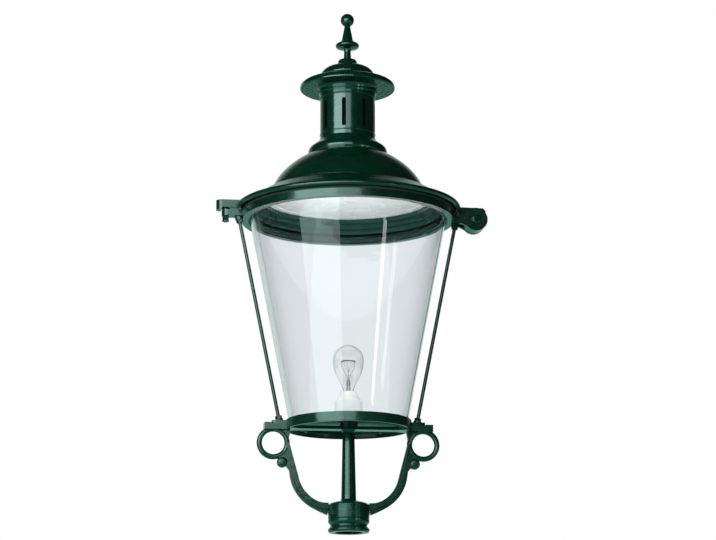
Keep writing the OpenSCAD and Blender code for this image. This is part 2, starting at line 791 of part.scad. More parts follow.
module latch_bolt() {
    reach = (tee_l - tee_w) / 2;
    color(iron) translate([-latch_x, 0, 0]) {
        translate([0, 0, wing_z0 - latch_nut_h - 1])
            cylinder(h = tee_z1 - wing_z0 + latch_nut_h + 1, r = spindle_r);
        translate([0, 0, top_z1 + play]) cylinder(h = seat_z - top_z1 - play - 1, r = collar_top_r);
        box(-reach, reach, tee_w, tee_z0, tee_z1);
        for (s = [-1, 1]) translate([s * reach, 0, tee_z0]) cylinder(h = tee_t, d = tee_w);
    }
}

// The bar handle lies square to the T-head
module wing_handle() {
    half = wing_l / 2;
    color(iron) translate([-latch_x, 0, 0])
        difference() {
            union() {
                translate([0, 0, wing_z0]) cylinder(h = wing_h, r = spindle_r + 3);
                rotate([0, 0, 90]) upright(wing_t) polygon([[-half + 1, wing_z1 - 1], [-half, wing_z1 - 2.5],
                    [-half + 1, wing_z0 + 1.5], [-half + 3, wing_z0], [half - 3, wing_z0],
                    [half - 1, wing_z0 + 1.5], [half, wing_z1 - 2.5], [half - 1, wing_z1 - 1]]);
            }
            translate([0, 0, wing_z0 - eps]) cylinder(h = wing_h + 2 * eps, d = spindle_d + slip);
        }
}

module latch_nut() {
    color(iron) translate([-latch_x, 0, wing_z0 - latch_nut_h])
        hex_nut(1.6 * spindle_d, latch_nut_h, spindle_d + slip);
}

// Roof

brim_top = bez([dome_r, dome_z0], [skirt_r1 + 1, skirt_z1 + 13.3], [brim_r - 43, skirt_z1 - 9],
    [brim_r - 12, edge_c[1] + bead_r + 2.5], 12);

module leaf_outline() {
    translate([hinge_x, hinge_z]) circle(r = knuckle_r);
    polygon([[brim_r - 16, seat_z + 4], [brim_r - 16, seat_z + 12], [brim_r - 8, hinge_z + 1.1 * ear_r],
        [hinge_x + 0.66 * ear_r, hinge_z + 1.06 * ear_r], [hinge_x + 0.88 * ear_r, hinge_z + 0.85 * ear_r],
        [hinge_x + 0.97 * ear_r, hinge_z + 0.2 * ear_r], [hinge_x, hinge_z],
        [hinge_x - 0.85 * ear_r, hinge_z + 0.3 * ear_r], [brim_r - 2, seat_z + 1]]);
}

module roof_brim() {
    under = beside(brim_top, brim_t);
    color(iron)
        difference() {
            union() {
                rotate_extrude() polygon(concat(
                    [[ledge_r, dome_z0 - ledge_t], [ledge_r, dome_z0]], brim_top,
                    arc_pts(edge_c, bead_r, 75, -90, 12),
                    [[edge_c[0] - 4, seat_z + 0.5], [edge_c[0] - 6, edge_c[1] - 1]],
                    [for (i = [len(under) - 1 : -1 : 1]) under[i]],
                    [[dome_r - 2.5, dome_z0 - ledge_t]]));
                ring(rib_r, rib_ri, seat_z, seat_z + 12);
                upright(knuckle_w) leaf_outline();
                rotate([0, 0, 180]) {
                    box(brim_r - 12, roof_lug_x, latch_w, seat_z, roof_lug_z1);
                    difference() {
                        translate([roof_lug_x, 0, nose_z0])
                            cylinder(h = roof_lug_z1 - nose_z0, r = latch_end_r);
                        box(brim_r, roof_lug_x + 3, 2 * latch_w, nose_z0 - eps, seat_z);
                    }
                }
            }
            translate([hinge_x, 0, hinge_z]) rotate([90, 0, 0]) translate([0, 0, -knuckle_w])
                cylinder(h = 2 * knuckle_w, r = pin_r + pin_clear);
            translate([-latch_x, 0, 0]) {
                box(-tee_l / 2 - slot_clear + tee_w / 2, tee_l / 2 + slot_clear - tee_w / 2,
                    tee_w + 2 * slot_clear, seat_z - eps, roof_lug_z1 + eps);
                for (s = [-1, 1]) translate([s * (tee_l - tee_w) / 2, 0, seat_z - eps])
                    cylinder(h = roof_lug_z1 - seat_z + 2 * eps, r = tee_w / 2 + slot_clear);
                translate([0, 0, pocket_z0]) cylinder(h = tee_t + 2, r = tee_l / 2 + slot_clear);
            }
            for (k = [0 : 5]) rotate([0, 0, 30 + 60 * k]) {
                translate([dome_bolt_r, 0, dome_z0 - ledge_t - eps])
                    cylinder(h = ledge_t + 2 * eps, d = 6 + slip);
                translate([rib_ri - 2, 0, skirt_screw_z]) rotate([0, 90, 0])
                    cylinder(h = rib_r - rib_ri + 4, d = 4 + slip);
            }
        }
}

// Inner skirt: an outer leg, then a stair of equal steps up and in to the reflector
function stair(r0, z0, r1, z1, n) = concat([[r0, z0]], [for (i = [1 : n], j = [0, 1])
    [r0 + (r1 - r0) * i / n, z0 + (z1 - z0) * (i - 1 + j) / n]]);

module inner_skirt() {
    steps = stair(skirt_r0 - skirt_t, skirt_z0, skirt_r1, skirt_z1, skirt_steps);
    color(iron_dark)
        difference() {
            rotate_extrude() polygon(concat(
                [[skirt_r0, skirt_z0]], steps,
                [[skirt_r1 - 8, skirt_z1], [skirt_r1 - 8, skirt_z1 + skirt_t]],
                [for (i = [len(steps) - 1 : -1 : 1]) steps[i] + [skirt_t, skirt_t]],
                [[skirt_r0 - skirt_t, skirt_z0 + skirt_t], [skirt_r0 - skirt_t, skirt_z0 + skirt_band],
                    [skirt_r0, skirt_z0 + skirt_band]]));
            for (k = [0 : 5]) rotate([0, 0, 30 + 60 * k]) {
                translate([skirt_r0 - 3, 0, skirt_screw_z]) rotate([0, 90, 0]) cylinder(h = 6, d = 4 + slip);
                translate([skirt_r1 - 5, 0, skirt_z1 - eps]) cylinder(h = 3 * skirt_t + 2 * eps, d = 3 + slip);
            }
        }
}

module skirt_screws() {
    color(steel)
        for (k = [0 : 5]) rotate([0, 0, 30 + 60 * k]) translate([skirt_r0 - skirt_t - slip, 0, skirt_screw_z])
            rotate([0, -90, 0]) pan_screw(4, rib_r - skirt_r0 + skirt_t);
}

module reflector_plate() {
    color("#f2f3f1")
        difference() {
            union() {
                translate([0, 0, skirt_z1 - skirt_t]) cylinder(h = skirt_t, r = reflector_r);
                rotate_extrude() translate([reflector_r - 16, skirt_z1 - 0.8]) circle(r = 1.4);
            }
            for (k = [0 : 5]) rotate([0, 0, 30 + 60 * k]) translate([skirt_r1 - 5, 0, skirt_z1 - 2 * skirt_t])
                cylinder(h = 4 * skirt_t, d = 3 + slip);
        }
}

module reflector_screws() {
    color("#e8e8e4")
        for (k = [0 : 5]) rotate([0, 0, 30 + 60 * k]) translate([skirt_r1 - 5, 0, skirt_z1 - skirt_t])
            rotate([180, 0, 0]) pan_screw(3, 3 * skirt_t + 1);
}

dome_curve = bez([collar_r - 1.5, dome_z1], [collar_r + 29, dome_z1 - 14], [dome_r - 11.5, dome_z0 + 38],
    [dome_r, dome_z0 + 1], 14);

module roof_dome() {
    color(iron)
        difference() {
            rotate_extrude() polygon(concat(
                [[vent_hole_r, dome_z1]], dome_curve,
                [[dome_r, dome_z0], [ledge_r + 1, dome_z0], [ledge_r + 1, dome_z0 + sheet_t],
                    [dome_r - sheet_t, dome_z0 + sheet_t]],
                back(beside(dome_curve, sheet_t)),
                [[vent_hole_r, dome_z1 - sheet_t]]));
            for (k = [0 : 5]) rotate([0, 0, 30 + 60 * k]) translate([dome_bolt_r, 0, dome_z0 - eps])
                cylinder(h = sheet_t + 2 * eps, d = 6 + slip);
        }
}

module dome_bolts() {
    color(steel)
        for (k = [0 : 5]) rotate([0, 0, 30 + 60 * k]) translate([dome_bolt_r, 0, 0]) {
            translate([0, 0, dome_z0 - ledge_t]) rotate([180, 0, 0]) cylinder(h = 4, d = 11, $fn = 6);
            translate([0, 0, dome_z0 - ledge_t]) cylinder(h = ledge_t + sheet_t + 6.5, d = 6);
            translate([0, 0, dome_z0 + sheet_t]) hex_nut(9, 5, 6 + slip);
        }
}

module shoulder_collar() {
    foot = collar_r - 1.5;
    color(iron)
        rotate_extrude() polygon(concat(
            [[vent_hole_r - 2, dome_z1], [foot, dome_z1]],
            bez([foot, dome_z1], [collar_r + 1.2, dome_z1 + 6], [collar_r + 0.4, dome_z1 + 12],
                [collar_r - 4, dome_z1 + 17], 8),
            bez([chimney_r + 10.2, dome_z1 + 26], [chimney_r + 5, dome_z1 + 30],
                [chimney_r + 2.2, chimney_z0 - 4], [chimney_r + 1.4, chimney_z0], 8),
            [[chimney_r - chimney_t - 0.3, chimney_z0], [chimney_r - chimney_t - 0.3, chimney_z0 + 8],
                [chimney_r - chimney_t - 3, chimney_z0 + 8], [chimney_r - chimney_t - 3, dome_z1 + 14]]));
}

module chimney() {
    color(iron)
        difference() {
            union() {
                ring(chimney_r, chimney_r - chimney_t, chimney_z0, chimney_z1);
                rotate_extrude() translate([chimney_r - 0.6, chimney_z0 + 10]) circle(r = 1.6);
            }
            translate([0, 0, chimney_z0]) cylinder(h = chimney_h, r = chimney_r - chimney_t);
            for (k = [0 : slot_count - 1]) rotate([0, 0, slot_phase + 360 * k / slot_count]) {
                translate([chimney_r - 2 * chimney_t, -slot_w / 2, chimney_z0 + slot_rise + slot_w / 2])
                    cube([4 * chimney_t, slot_w, slot_h - slot_w]);
                for (z = [slot_w / 2, slot_h - slot_w / 2])
                    translate([chimney_r - 2 * chimney_t, 0, chimney_z0 + slot_rise + z])
                        rotate([0, 90, 0]) cylinder(h = 4 * chimney_t, d = slot_w);
            }
        }
}

module chimney_liner() {
    color(iron_dark) {
        ring(liner_r, liner_r - 1.5, liner_z0, chimney_z1 - 18);
        difference() {
            ring(vent_hole_r - 2.2, liner_r - 1, liner_z0, liner_z0 + 2);
            for (m = [0, 180]) rotate([0, 0, m]) translate([liner_r + 3, 0, liner_z0 - eps])
                cylinder(h = 4, d = 3 + slip);
        }
    }
}

module liner_screws() {
    color(steel)
        for (m = [0, 180]) rotate([0, 0, m]) translate([liner_r + 3, 0, liner_z0 + 2]) pan_screw(3, bridge_t);
}

module neck_ring() {
    color(iron)
        rotate_extrude() polygon(concat([[chimney_r, neck_z0]],
            arc_pts([chimney_r + 0.4, neck_z0 + 1.5], 1.5, -60, 90, 6),
            bez([chimney_r + 0.7, neck_z0 + 4], [chimney_r + 1.2, neck_z0 + 8], [chimney_r + 2.2, neck_z0 + 11],
                [chimney_r + 3.2, neck_z0 + 13], 4),
            [[chimney_r + 4.4, neck_z0 + 13], [chimney_r + 4.4, neck_z0 + 14.5]],
            bez([chimney_r + 3.6, neck_z0 + 15], [chimney_r + 4.4, neck_z1 - 5], [chimney_r + 6, neck_z1 - 2],
                [chimney_r + 7.5, neck_z1], 4),
            [[chimney_r, neck_z1]]));
}

module vent_plate() {
    outer = flange_r - 5;
    color(iron_dark)
        difference() {
            ring(outer, chimney_r, plate_z0, plate_z1);
            for (row = [0, 1], k = [0 : vent_count - 1])
                rotate([0, 0, (k + row / 2) * 360 / vent_count])
                    translate([outer - 9 - 12 * row, 0, plate_z0 - eps]) cylinder(h = 4, d = vent_d);
        }
}

flange_curve = bez([chimney_r - 0.3, cap_z0 - 2], [chimney_r + 5.2, cap_z0 - 13],
    [flange_r, cap_z0 - 10], [flange_r, plate_z0 + 4.5], 12);

module cap_flange() {
    color(iron)
        difference() {
            union() {
                rotate_extrude() polygon(concat(flange_curve,
                    arc_pts([flange_r - 2.2, plate_z0 + 2.2], 2.2, 0, -180, 8),
                    [[flange_r - 4.4, plate_z0 + 4]],
                    back(beside(flange_curve, sheet_t))));
                ring(chimney_r - 0.1, chimney_r - chimney_t, chimney_z1, cap_z0);
            }
            for (k = [0 : 7]) rotate([0, 0, 45 * k]) translate([chimney_r - 3 * chimney_t, 0, chimney_z1 + 6])
                rotate([0, 90, 0]) cylinder(h = 6 * chimney_t, d = 7);
        }
}

cap_curve = bez([24, cap_z1], [44, cap_z1], [chimney_r - 2.8, cap_z0 + 14], [chimney_r - 0.3, cap_z0], 10);

module cap_dome() {
    color(iron)
        difference() {
            rotate_extrude() polygon(concat([[tie_d / 2 + slip, cap_z1]], cap_curve,
                back(beside(cap_curve, sheet_t - 0.3)), [[tie_d / 2 + slip, cap_z1 - sheet_t + 0.3]]));
            translate([0, 0, cap_z0 - sheet_t]) cylinder(h = sheet_t, r = chimney_r);
        }
}

module finial() {
    ball_r = finial_ball_d / 2;
    ball_z = cap_z1 + finial_h - ball_r;
    disc_r = finial_disc_d / 2;
    disc_z = cap_z1 + 49.5;
    color(iron)
        difference() {
            rotate_extrude() polygon(concat(
                [[0, cap_z1], [24, cap_z1], [21.5, cap_z1 + 6], [21.5, cap_z1 + 11.5], [19, cap_z1 + 15.5],
                    [8.3, cap_z1 + 18], [7.6, disc_z - 12]],
                [[9, disc_z - 8]],
                arc_pts([disc_r - 5.5, disc_z], 5.5, -90, 90, 8),
                [[13.5, disc_z + 12]],
                bez([12.6, disc_z + 14], [9.5, disc_z + 30], [7, ball_z - ball_r - 4],
                    [6.4, ball_z - ball_r + 2], 8),
                arc_pts([0, ball_z], ball_r, -64, 90, 16)));
            translate([0, 0, cap_z1 - eps]) cylinder(h = tie_z1 - cap_z1 + 2, d = tie_d + slip);
        }
}

module tie_rod() {
    color(steel) translate([0, 0, tie_z0]) cylinder(h = tie_z1 - tie_z0, d = tie_d);
}

module tie_bridge() {
    half = vent_hole_r + 16;
    color(steel)
        difference() {
            box(-half, half, bridge_w, bridge_z0, bridge_z0 + bridge_t);
            translate([0, 0, bridge_z0 - eps]) cylinder(h = bridge_t + 2 * eps, d = tie_d + slip);
            for (m = [0, 180]) rotate([0, 0, m]) translate([liner_r + 3, 0, bridge_z0 - eps])
                cylinder(h = bridge_t + 2 * eps, d = 3 + slip);
        }
}

module tie_nut() {
    color(steel) {
        ring(tie_d, tie_d / 2 + slip / 2, bridge_z0 - 2, bridge_z0);
        translate([0, 0, bridge_z0 - 2 - tie_nut_h]) hex_nut(1.7 * tie_d, tie_nut_h, tie_d + slip);
    }
}

// Lampholder and lamp

module lamp_plinth() {
    color("#eef0ee")
        difference() {
            union() {
                difference() {
                    translate([0, 0, pan_top]) cylinder(h = plinth_h, r = plinth_r);
                    translate([0, 0, pan_top - eps])
                        cylinder(h = plinth_h - plinth_t + eps, r = plinth_r - plinth_t);
                }
                for (k = [0 : 2]) rotate([0, 0, 90 + 120 * k]) translate([plinth_screw_r, 0, pan_top])
                    cylinder(h = 3, r = 5.5);
            }
            translate([0, 0, plinth_z1 - 2 * plinth_t]) cylinder(h = 3 * plinth_t, r = holder_r + 0.2);
            for (k = [0 : 2]) rotate([0, 0, 90 + 120 * k]) translate([plinth_screw_r, 0, pan_top - eps])
                cylinder(h = 3 + 2 * eps, d = 4 + slip);
        }
}

module plinth_screws() {
    color(steel)
        for (k = [0 : 2]) rotate([0, 0, 90 + 120 * k]) translate([plinth_screw_r, 0, pan_top + 3])
            pan_screw(4, 3 + pan_t + 2);
}

module lampholder() {
    color("#f3f2ec")
        difference() {
            rotate_extrude() polygon(concat(
                [[0, holder_z0], [holder_r, holder_z0], [holder_r, plinth_z1], [plinth_r - 3.5, plinth_z1]],
                bez([plinth_r - 4, plinth_z1 + 2], [plinth_r - 6.5, plinth_z1 + 8],
                    [cap_r + 6.5, plinth_z1 + 10], [cap_r + 5.2, holder_z1 - 1.5], 8),
                [[cap_r + 4.2, holder_z1], [0, holder_z1]]));
            translate([0, 0, cavity_z0]) cylinder(h = holder_depth + eps, r = cap_r + cap_gap);
            for (s = [-1, 1]) translate([s * stud_x, 0, holder_z0 - eps])
                cylinder(h = cavity_z0 - holder_z0 + 2 * eps, d = 3);
        }
}

module holder_contacts() {
    rise = cavity_z0 - holder_z0;
    side_x = cap_r + cap_gap - 0.35;
    color("#b08d3c") {
        for (s = [-1, 1]) translate([s * stud_x, 0, holder_z0 - 1]) cylinder(h = rise + 2, d = 2.6);
        box(-stud_x - 1.5, 3.5, 5, cavity_z0, cavity_z0 + 1.2);
        box(-3.5, 3.5, 5, cavity_z0, lamp_foot_z - air);
        box(stud_x - 1, side_x, 5, cavity_z0, cavity_z0 + 1.2);
        box(cap_r + air, side_x, 5, cavity_z0, cavity_z0 + 20);
    }
}

module terminal_block() {
    color("#e6e2d6")
        difference() {
            translate([-block_pitch, block_y - block_t / 2, pan_top])
                cube([2 * block_pitch, block_t, terminal_z1 - pan_top]);
            for (s = [-1, 1]) translate([s * block_pitch / 2, block_y, pan_top]) {
                translate([0, -block_t / 2 - eps, 5]) rotate([-90, 0, 0])
                    cylinder(h = block_t + 2 * eps, d = 3.4);
                translate([0, 0, 8]) cylinder(h = 6, d = 3.2);
            }
            translate([-0.5, block_y - block_t / 2 - eps, terminal_z1 - 3]) cube([1, block_t + 2 * eps, 4]);
        }
}

module lead_wires() {
    wire_z = terminal_z1 + 4;
    run = [stud_x - block_pitch / 2, -block_y];
    for (s = [-1, 1]) color(s < 0 ? "#7a4a2a" : "#2f5f9a") {
        translate([s * block_pitch / 2, block_y, pan_top + 8]) cylinder(h = wire_z - pan_top - 8, d = wire_d);
        translate([s * block_pitch / 2, block_y, wire_z]) {
            sphere(d = wire_d + 0.3);
            rotate([-90, 0, -s * atan2(run[0], run[1])]) cylinder(h = norm(run), d = wire_d);
        }
        translate([s * stud_x, 0, wire_z]) {
            sphere(d = wire_d + 0.3);
            cylinder(h = holder_z0 - 1 - wire_z, d = wire_d);
        }
    }
}

// E27 thread on the lamp's cap, as rings a pitch apart
module lamp_cap() {
    pitch = 3.6;
    shell_z0 = lamp_foot_z + 5;
    color("#c3c6c2") {
        rotate_extrude() polygon([[0, lamp_foot_z + 2.6], [7, lamp_foot_z + 2.6], [cap_r - 2, shell_z0],
            [cap_r - 1.2, shell_z0], [cap_r - 1.2, cap_top_z], [cap_r - 2, cap_top_z],
            [cap_r - 2, shell_z0 + 1], [6, lamp_foot_z + 3.6], [0, lamp_foot_z + 3.6]]);
        rotate_extrude() for (k = [0 : 4]) translate([cap_r - 1.3, shell_z0 + 2.5 + pitch * k])
            circle(r = 1.2, $fn = 24);
        translate([0, 0, lamp_foot_z]) cylinder(h = 3, r1 = 4, r2 = 5);
    }
}

// Centre line of the bulb's wall from neck to crown
bulb_curve = concat(
    [[bulb_neck_r, cap_top_z - 6], [bulb_neck_r, cap_top_z + 0.5]],
    bez([neck_r - 0.4, cap_top_z + 3], [neck_r + 3.5, cap_top_z + 22], [bulb_r, bulb_top - bulb_r - 34],
        [bulb_r, bulb_top - bulb_r], 10),
    [for (p = arc_pts([0, bulb_top - bulb_r], bulb_r, 0, 90, 14)) if (p[1] > bulb_top - bulb_r) p]);

module lamp_bulb() {
    inside = beside(bulb_curve, -bulb_t);
    color("#e8eef0", 0.3)
        rotate_extrude() polygon(concat(bulb_curve, [[0, bulb_top - bulb_t]],
            [for (i = [len(inside) - 2 : -1 : 0]) inside[i]]));
}

module lamp_mount() {
    stem_z = cap_top_z - 5;
    coil_z = bulb_top - bulb_r - 2;
    support_z = stem_z + 36;
    support_lean = 28;
    coil_r = 2 + (coil_z - support_z + 1) * tan(support_lean);
    color("#dfe4e4") {
        rotate_extrude() polygon([[0, stem_z], [bulb_neck_r - bulb_t - slip, stem_z],
            [bulb_neck_r - bulb_t - 1, stem_z + 3], [4, stem_z + 14], [2.6, stem_z + 26], [2.8, support_z], [0, support_z + 1]]);
    }
    color("#8f8f8a") {
        for (s = [-1, 1]) translate([s * 2, 0, support_z - 1]) rotate([0, s * support_lean, 0])
            cylinder(h = (coil_z - support_z + 1) / cos(support_lean), d = 0.9);
        translate([0, 0, support_z]) cylinder(h = coil_z - support_z + 4, d = 1.4);
        translate([0, 0, coil_z]) rotate_extrude() translate([coil_r, 0]) circle(d = 1.3, $fn = 24);
        translate([0, 0, coil_z - 0.4]) box(-coil_r, coil_r, 0.8, 0, 0.8);
    }
}

fork_hub();
fork_arm_left();
fork_arm_right();
arm_screws();
grub_screws();
centre_stem();
stem_nut();
cable_gland();
bottom_ring();
bottom_pan();
pan_screws();
bottom_gasket();
glass_cone();
top_gasket();
top_ring();
hood_gasket();
stay_rod_left();
stay_rod_right();
stay_nuts();
hinge_pin();
hinge_nut();
latch_bolt();
wing_handle();
latch_nut();
roof_brim();
inner_skirt();
skirt_screws();
reflector_plate();
reflector_screws();
roof_dome();
dome_bolts();
shoulder_collar();
chimney();
chimney_liner();
liner_screws();
neck_ring();
vent_plate();
cap_flange();
cap_dome();
finial();
tie_rod();
tie_bridge();
tie_nut();
lamp_plinth();
plinth_screws();
lampholder();
holder_contacts();
terminal_block();
lead_wires();
earth_screw();
lamp_cap();
lamp_bulb();
lamp_mount();
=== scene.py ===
import json
import math

import bmesh
import bpy
import numpy as np
from mathutils import Matrix, Vector


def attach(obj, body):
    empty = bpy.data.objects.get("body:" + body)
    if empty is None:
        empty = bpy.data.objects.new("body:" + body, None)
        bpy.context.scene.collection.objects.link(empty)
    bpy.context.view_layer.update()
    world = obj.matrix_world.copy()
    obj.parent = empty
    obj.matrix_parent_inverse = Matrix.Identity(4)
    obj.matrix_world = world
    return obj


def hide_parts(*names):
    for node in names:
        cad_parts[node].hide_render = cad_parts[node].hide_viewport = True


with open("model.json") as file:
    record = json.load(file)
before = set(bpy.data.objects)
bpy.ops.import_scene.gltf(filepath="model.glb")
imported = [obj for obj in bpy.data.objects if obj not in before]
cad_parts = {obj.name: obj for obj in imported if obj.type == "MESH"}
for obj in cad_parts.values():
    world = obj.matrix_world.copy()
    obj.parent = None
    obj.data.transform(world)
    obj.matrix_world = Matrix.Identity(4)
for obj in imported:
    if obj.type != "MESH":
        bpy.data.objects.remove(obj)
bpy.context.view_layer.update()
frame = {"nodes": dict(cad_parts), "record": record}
nodes = frame["nodes"]
print("lantern: frame loaded with", len(nodes), "nodes")


# Camera, floor and light
view = {
    "away": 5.023,  # metres from the lantern's axis
    "azimuth": -8.0,
    "height": -0.5426,  # the camera stands below the socket
    "pitch": 12.6,
    "pictureWidth": 716,
    "pixels": 2330.0,  # focal length in pixels of a picture of that width
    "axisAside": 10.5,  # how many pixels left of the middle the axis stands
    "roll": 0.22,  # degrees the camera leans to its right
    "sensor": 36.0,  # width in millimetres
    "reach": 60.0,  # how far the camera sees, in metres
}


def placeCamera(v):
    az, pitch = math.radians(v["azimuth"]), math.radians(v["pitch"])
    turn = math.atan(v["axisAside"] / v["pixels"] * math.cos(pitch))
    heading = az - turn
    ahead = Vector((-math.sin(heading) * math.cos(pitch),
                    math.cos(heading) * math.cos(pitch),
                    math.sin(pitch)))
    right = Vector((ahead.y, -ahead.x, 0)).normalized()
    up = right.cross(ahead)
    lean = math.radians(v["roll"])
    right, up = right * math.cos(lean) - up * math.sin(lean), up * math.cos(lean) + right * math.sin(lean)
    faced = Matrix((right, up, -ahead)).transposed().to_4x4()
    spot = Vector((v["away"] * math.sin(az), -v["away"] * math.cos(az), v["height"]))
    camera = bpy.data.objects.new("photoCamera", bpy.data.cameras.new("photoCamera"))
    camera.data.sensor_width = v["sensor"]
    camera.data.lens = v["pixels"] / v["pictureWidth"] * v["sensor"]
    camera.data.clip_end = v["reach"]
    camera.matrix_world = Matrix.Translation(spot) @ faced
    bpy.context.scene.collection.objects.link(camera)
    bpy.context.scene.camera = camera


placeCamera(view)
bpy.context.scene.view_settings.view_transform = "Standard"


def linear(hexColour):  # sRGB hex to a linear colour
    raw = np.array([int(hexColour[i:i + 2], 16) for i in (1, 3, 5)]) / 255.0
    lin = np.where(raw <= 0.04045, raw / 12.92, ((raw + 0.055) / 1.055) ** 2.4)
    return (float(lin[0]), float(lin[1]), float(lin[2]), 1.0)


def add(tree, kind, settings=None, links=None):  # adds one shader node with its settings and links
    made = tree.nodes.new("ShaderNode" + kind)
    for name, value in (settings or {}).items():
        if isinstance(name, int) or name in made.inputs:
            made.inputs[name].default_value = value
        else:
            setattr(made, name, value)
    for name, source in (links or {}).items():
        tree.links.new(made.inputs[name], source)
    return made


# The broad window is made of boxes one above another, which share these values
window = {"turn": -33.5, "half": 24.0, "away": 3.2}
studio = {
    "back": 0.9,  # what gloss sees straight behind the lantern, so only a thin rim of each round catches it
    "backSpan": (0.6, 0.97),  # cosines to straight behind at which that light begins and is full
    "front": 0.03,  # what gloss sees behind the camera
    "backTint": "#dcefe9",  # colour of both, matched
    "fill": (0.03, 0.9),  # what matt surfaces receive from the dark side and from the light side
    "fillSpan": (-0.3, 0.7),  # cosines to the light side at which the first and the second are reached
    "lightSide": (-0.72, -0.45, -0.53),  # the way towards the light side
    "inside": (1.5, 1.5),  # extra light from round about and from the floor, for what the glass holds
    "floorLevel": -1.62,
    "floorHalf": 14.0,  # half the floor's width
    "floorWhite": 0.9,  # share of light that the paper throws back
    "floorLift": 0.85,  # own glow of the paper as the camera sees it
    "floorGloss": 0.8,  # what gloss sees of the floor
    "floorTint": "#86e4c8",  # its colour there, matched to the green of the undersides
    "aimHeight": 0.7,  # height on the lantern's axis that the boxes are aimed at
    # each soft box: azimuth of its middle from the camera's side, half its width, its low and its high
    # edge, all in degrees, its distance, its radiance, and its colour where it isn't white
    "boxes": {
        "windowHigh": {**window, "low": 15.5, "high": 24.0, "glow": 9.6},
        "windowMiddle": {**window, "low": -0.9, "high": 15.5, "glow": 6.2},
        "windowLow": {**window, "low": -3.9, "high": -0.9, "glow": 3.5},
        "windowFoot": {**window, "low": -5.8, "high": -3.9, "glow": 1.1},
        "windowSill": {**window, "low": -8.3, "high": -5.8, "glow": 4.4, "colour": "#cdf0ee"},
        "windowBase": {**window, "low": -27.0, "high": -8.3, "glow": 2.7, "colour": "#eefafa"},
        "windowNarrow": {"turn": 2.5, "low": -3.5, "high": 24.0, "half": 11.0, "away": 3.2, "glow": 4.0},
        "stripNear": {"turn": 44.0, "low": -18.5, "high": -7.0, "half": 2.4, "away": 3.0, "glow": 7.0},
        "stripFar": {"turn": 60.0, "low": -16.0, "high": -7.0, "half": 3.0, "away": 3.0, "glow": 3.0},
    },
}


# What a ray finds where it meets nothing: the camera's rays, and those that glass lets straight through,
# find white; mirrored rays find a dark room with light behind the lantern; matt surfaces find the fill
def lightRoom(s):
    world = bpy.data.worlds.new("studioWorld")
    bpy.context.scene.world = world
    world.use_nodes = True
    tree = world.node_tree
    tree.nodes.clear()
    ray = add(tree, "LightPath").outputs
    mirrored = add(tree, "Math", {"operation": "MINIMUM", 1: 1.0}, {0: ray["Glossy Depth"]})
    clear = add(tree, "Math", {"operation": "SUBTRACT", "use_clamp": True},
                {0: ray["Is Transmission Ray"], 1: mirrored.outputs[0]})
    seen = add(tree, "Math", {"operation": "MAXIMUM"}, {0: ray["Is Camera Ray"], 1: clear.outputs[0]})
    glossy = add(tree, "Math", {"operation": "MAXIMUM"},
                 {0: ray["Is Glossy Ray"], 1: ray["Is Transmission Ray"]})
    toward = add(tree, "SeparateXYZ", links={0: add(tree, "TexCoord").outputs["Generated"]})
    behind = add(tree, "MapRange",
                 {"From Min": s["backSpan"][0], "From Max": s["backSpan"][1], "To Min": s["front"],
                  "To Max": s["back"], "interpolation_type": "SMOOTHSTEP"},
                 {"Value": toward.outputs["Y"]})
    way = add(tree, "VectorMath", {"operation": "DOT_PRODUCT", 1: s["lightSide"]},
              {0: add(tree, "TexCoord").outputs["Generated"]})
    fill = add(tree, "MapRange",
               {"From Min": s["fillSpan"][0], "From Max": s["fillSpan"][1], "To Min": s["fill"][0],
                "To Max": s["fill"][1]},
               {"Value": way.outputs["Value"]})
    gloss = add(tree, "Mix", {"data_type": "FLOAT"},
                {0: glossy.outputs[0], 2: fill.outputs["Result"], 3: behind.outputs["Result"]})
    bounced = add(tree, "Math", {"operation": "MINIMUM", 1: 1.0}, {0: ray["Diffuse Depth"]})
    white = add(tree, "Math", {"operation": "MULTIPLY_ADD", 1: s["inside"][0], 2: 1.0},
                {0: bounced.outputs[0]})
    level = add(tree, "Mix", {"data_type": "FLOAT"},
                {0: seen.outputs[0], 2: gloss.outputs[0], 3: white.outputs[0]})
    reflected = add(tree, "Math", {"operation": "SUBTRACT", "use_clamp": True},
                    {0: glossy.outputs[0], 1: seen.outputs[0]})
    tone = add(tree, "Mix", {"data_type": "RGBA", 6: (1, 1, 1, 1), 7: linear(s["backTint"])},
               {0: reflected.outputs[0]})
    sky = add(tree, "Background", links={"Color": tone.outputs[2], "Strength": level.outputs[0]})
    add(tree, "OutputWorld", links={"Surface": sky.outputs[0]})


def hangBoxes(s):  # one area lamp for each soft box, upright and facing the lantern's axis
    aim = Vector((0, 0, s["aimHeight"]))
    for name, b in s["boxes"].items():
        lamp = bpy.data.lights.new(name, "AREA")
        lamp.shape = "RECTANGLE"
        lamp.color = linear(b.get("colour", "#ffffff"))[:3]
        lowZ, highZ = (b["away"] * math.tan(math.radians(b[k])) for k in ("low", "high"))
        lamp.size = 2 * b["away"] * math.tan(math.radians(b["half"]))
        lamp.size_y = highZ - lowZ
        lamp.energy = b["glow"] * math.pi * lamp.size * lamp.size_y  # its radiance is power / (pi area)
        holder = bpy.data.objects.new(name, lamp)
        turn = math.radians(view["azimuth"] + b["turn"])
        spot = aim + Vector((b["away"] * math.sin(turn), -b["away"] * math.cos(turn), (lowZ + highZ) / 2))
        flat = Vector((spot.x - aim.x, spot.y - aim.y, 0)).normalized()
        side = Vector((-flat.y, flat.x, 0))
        faced = Matrix((side, Vector((0, 0, 1)), flat)).transposed().to_4x4()
        holder.matrix_world = Matrix.Translation(spot) @ faced
        holder.visible_camera = False
        holder.visible_transmission = False
        bpy.context.scene.collection.objects.link(holder)


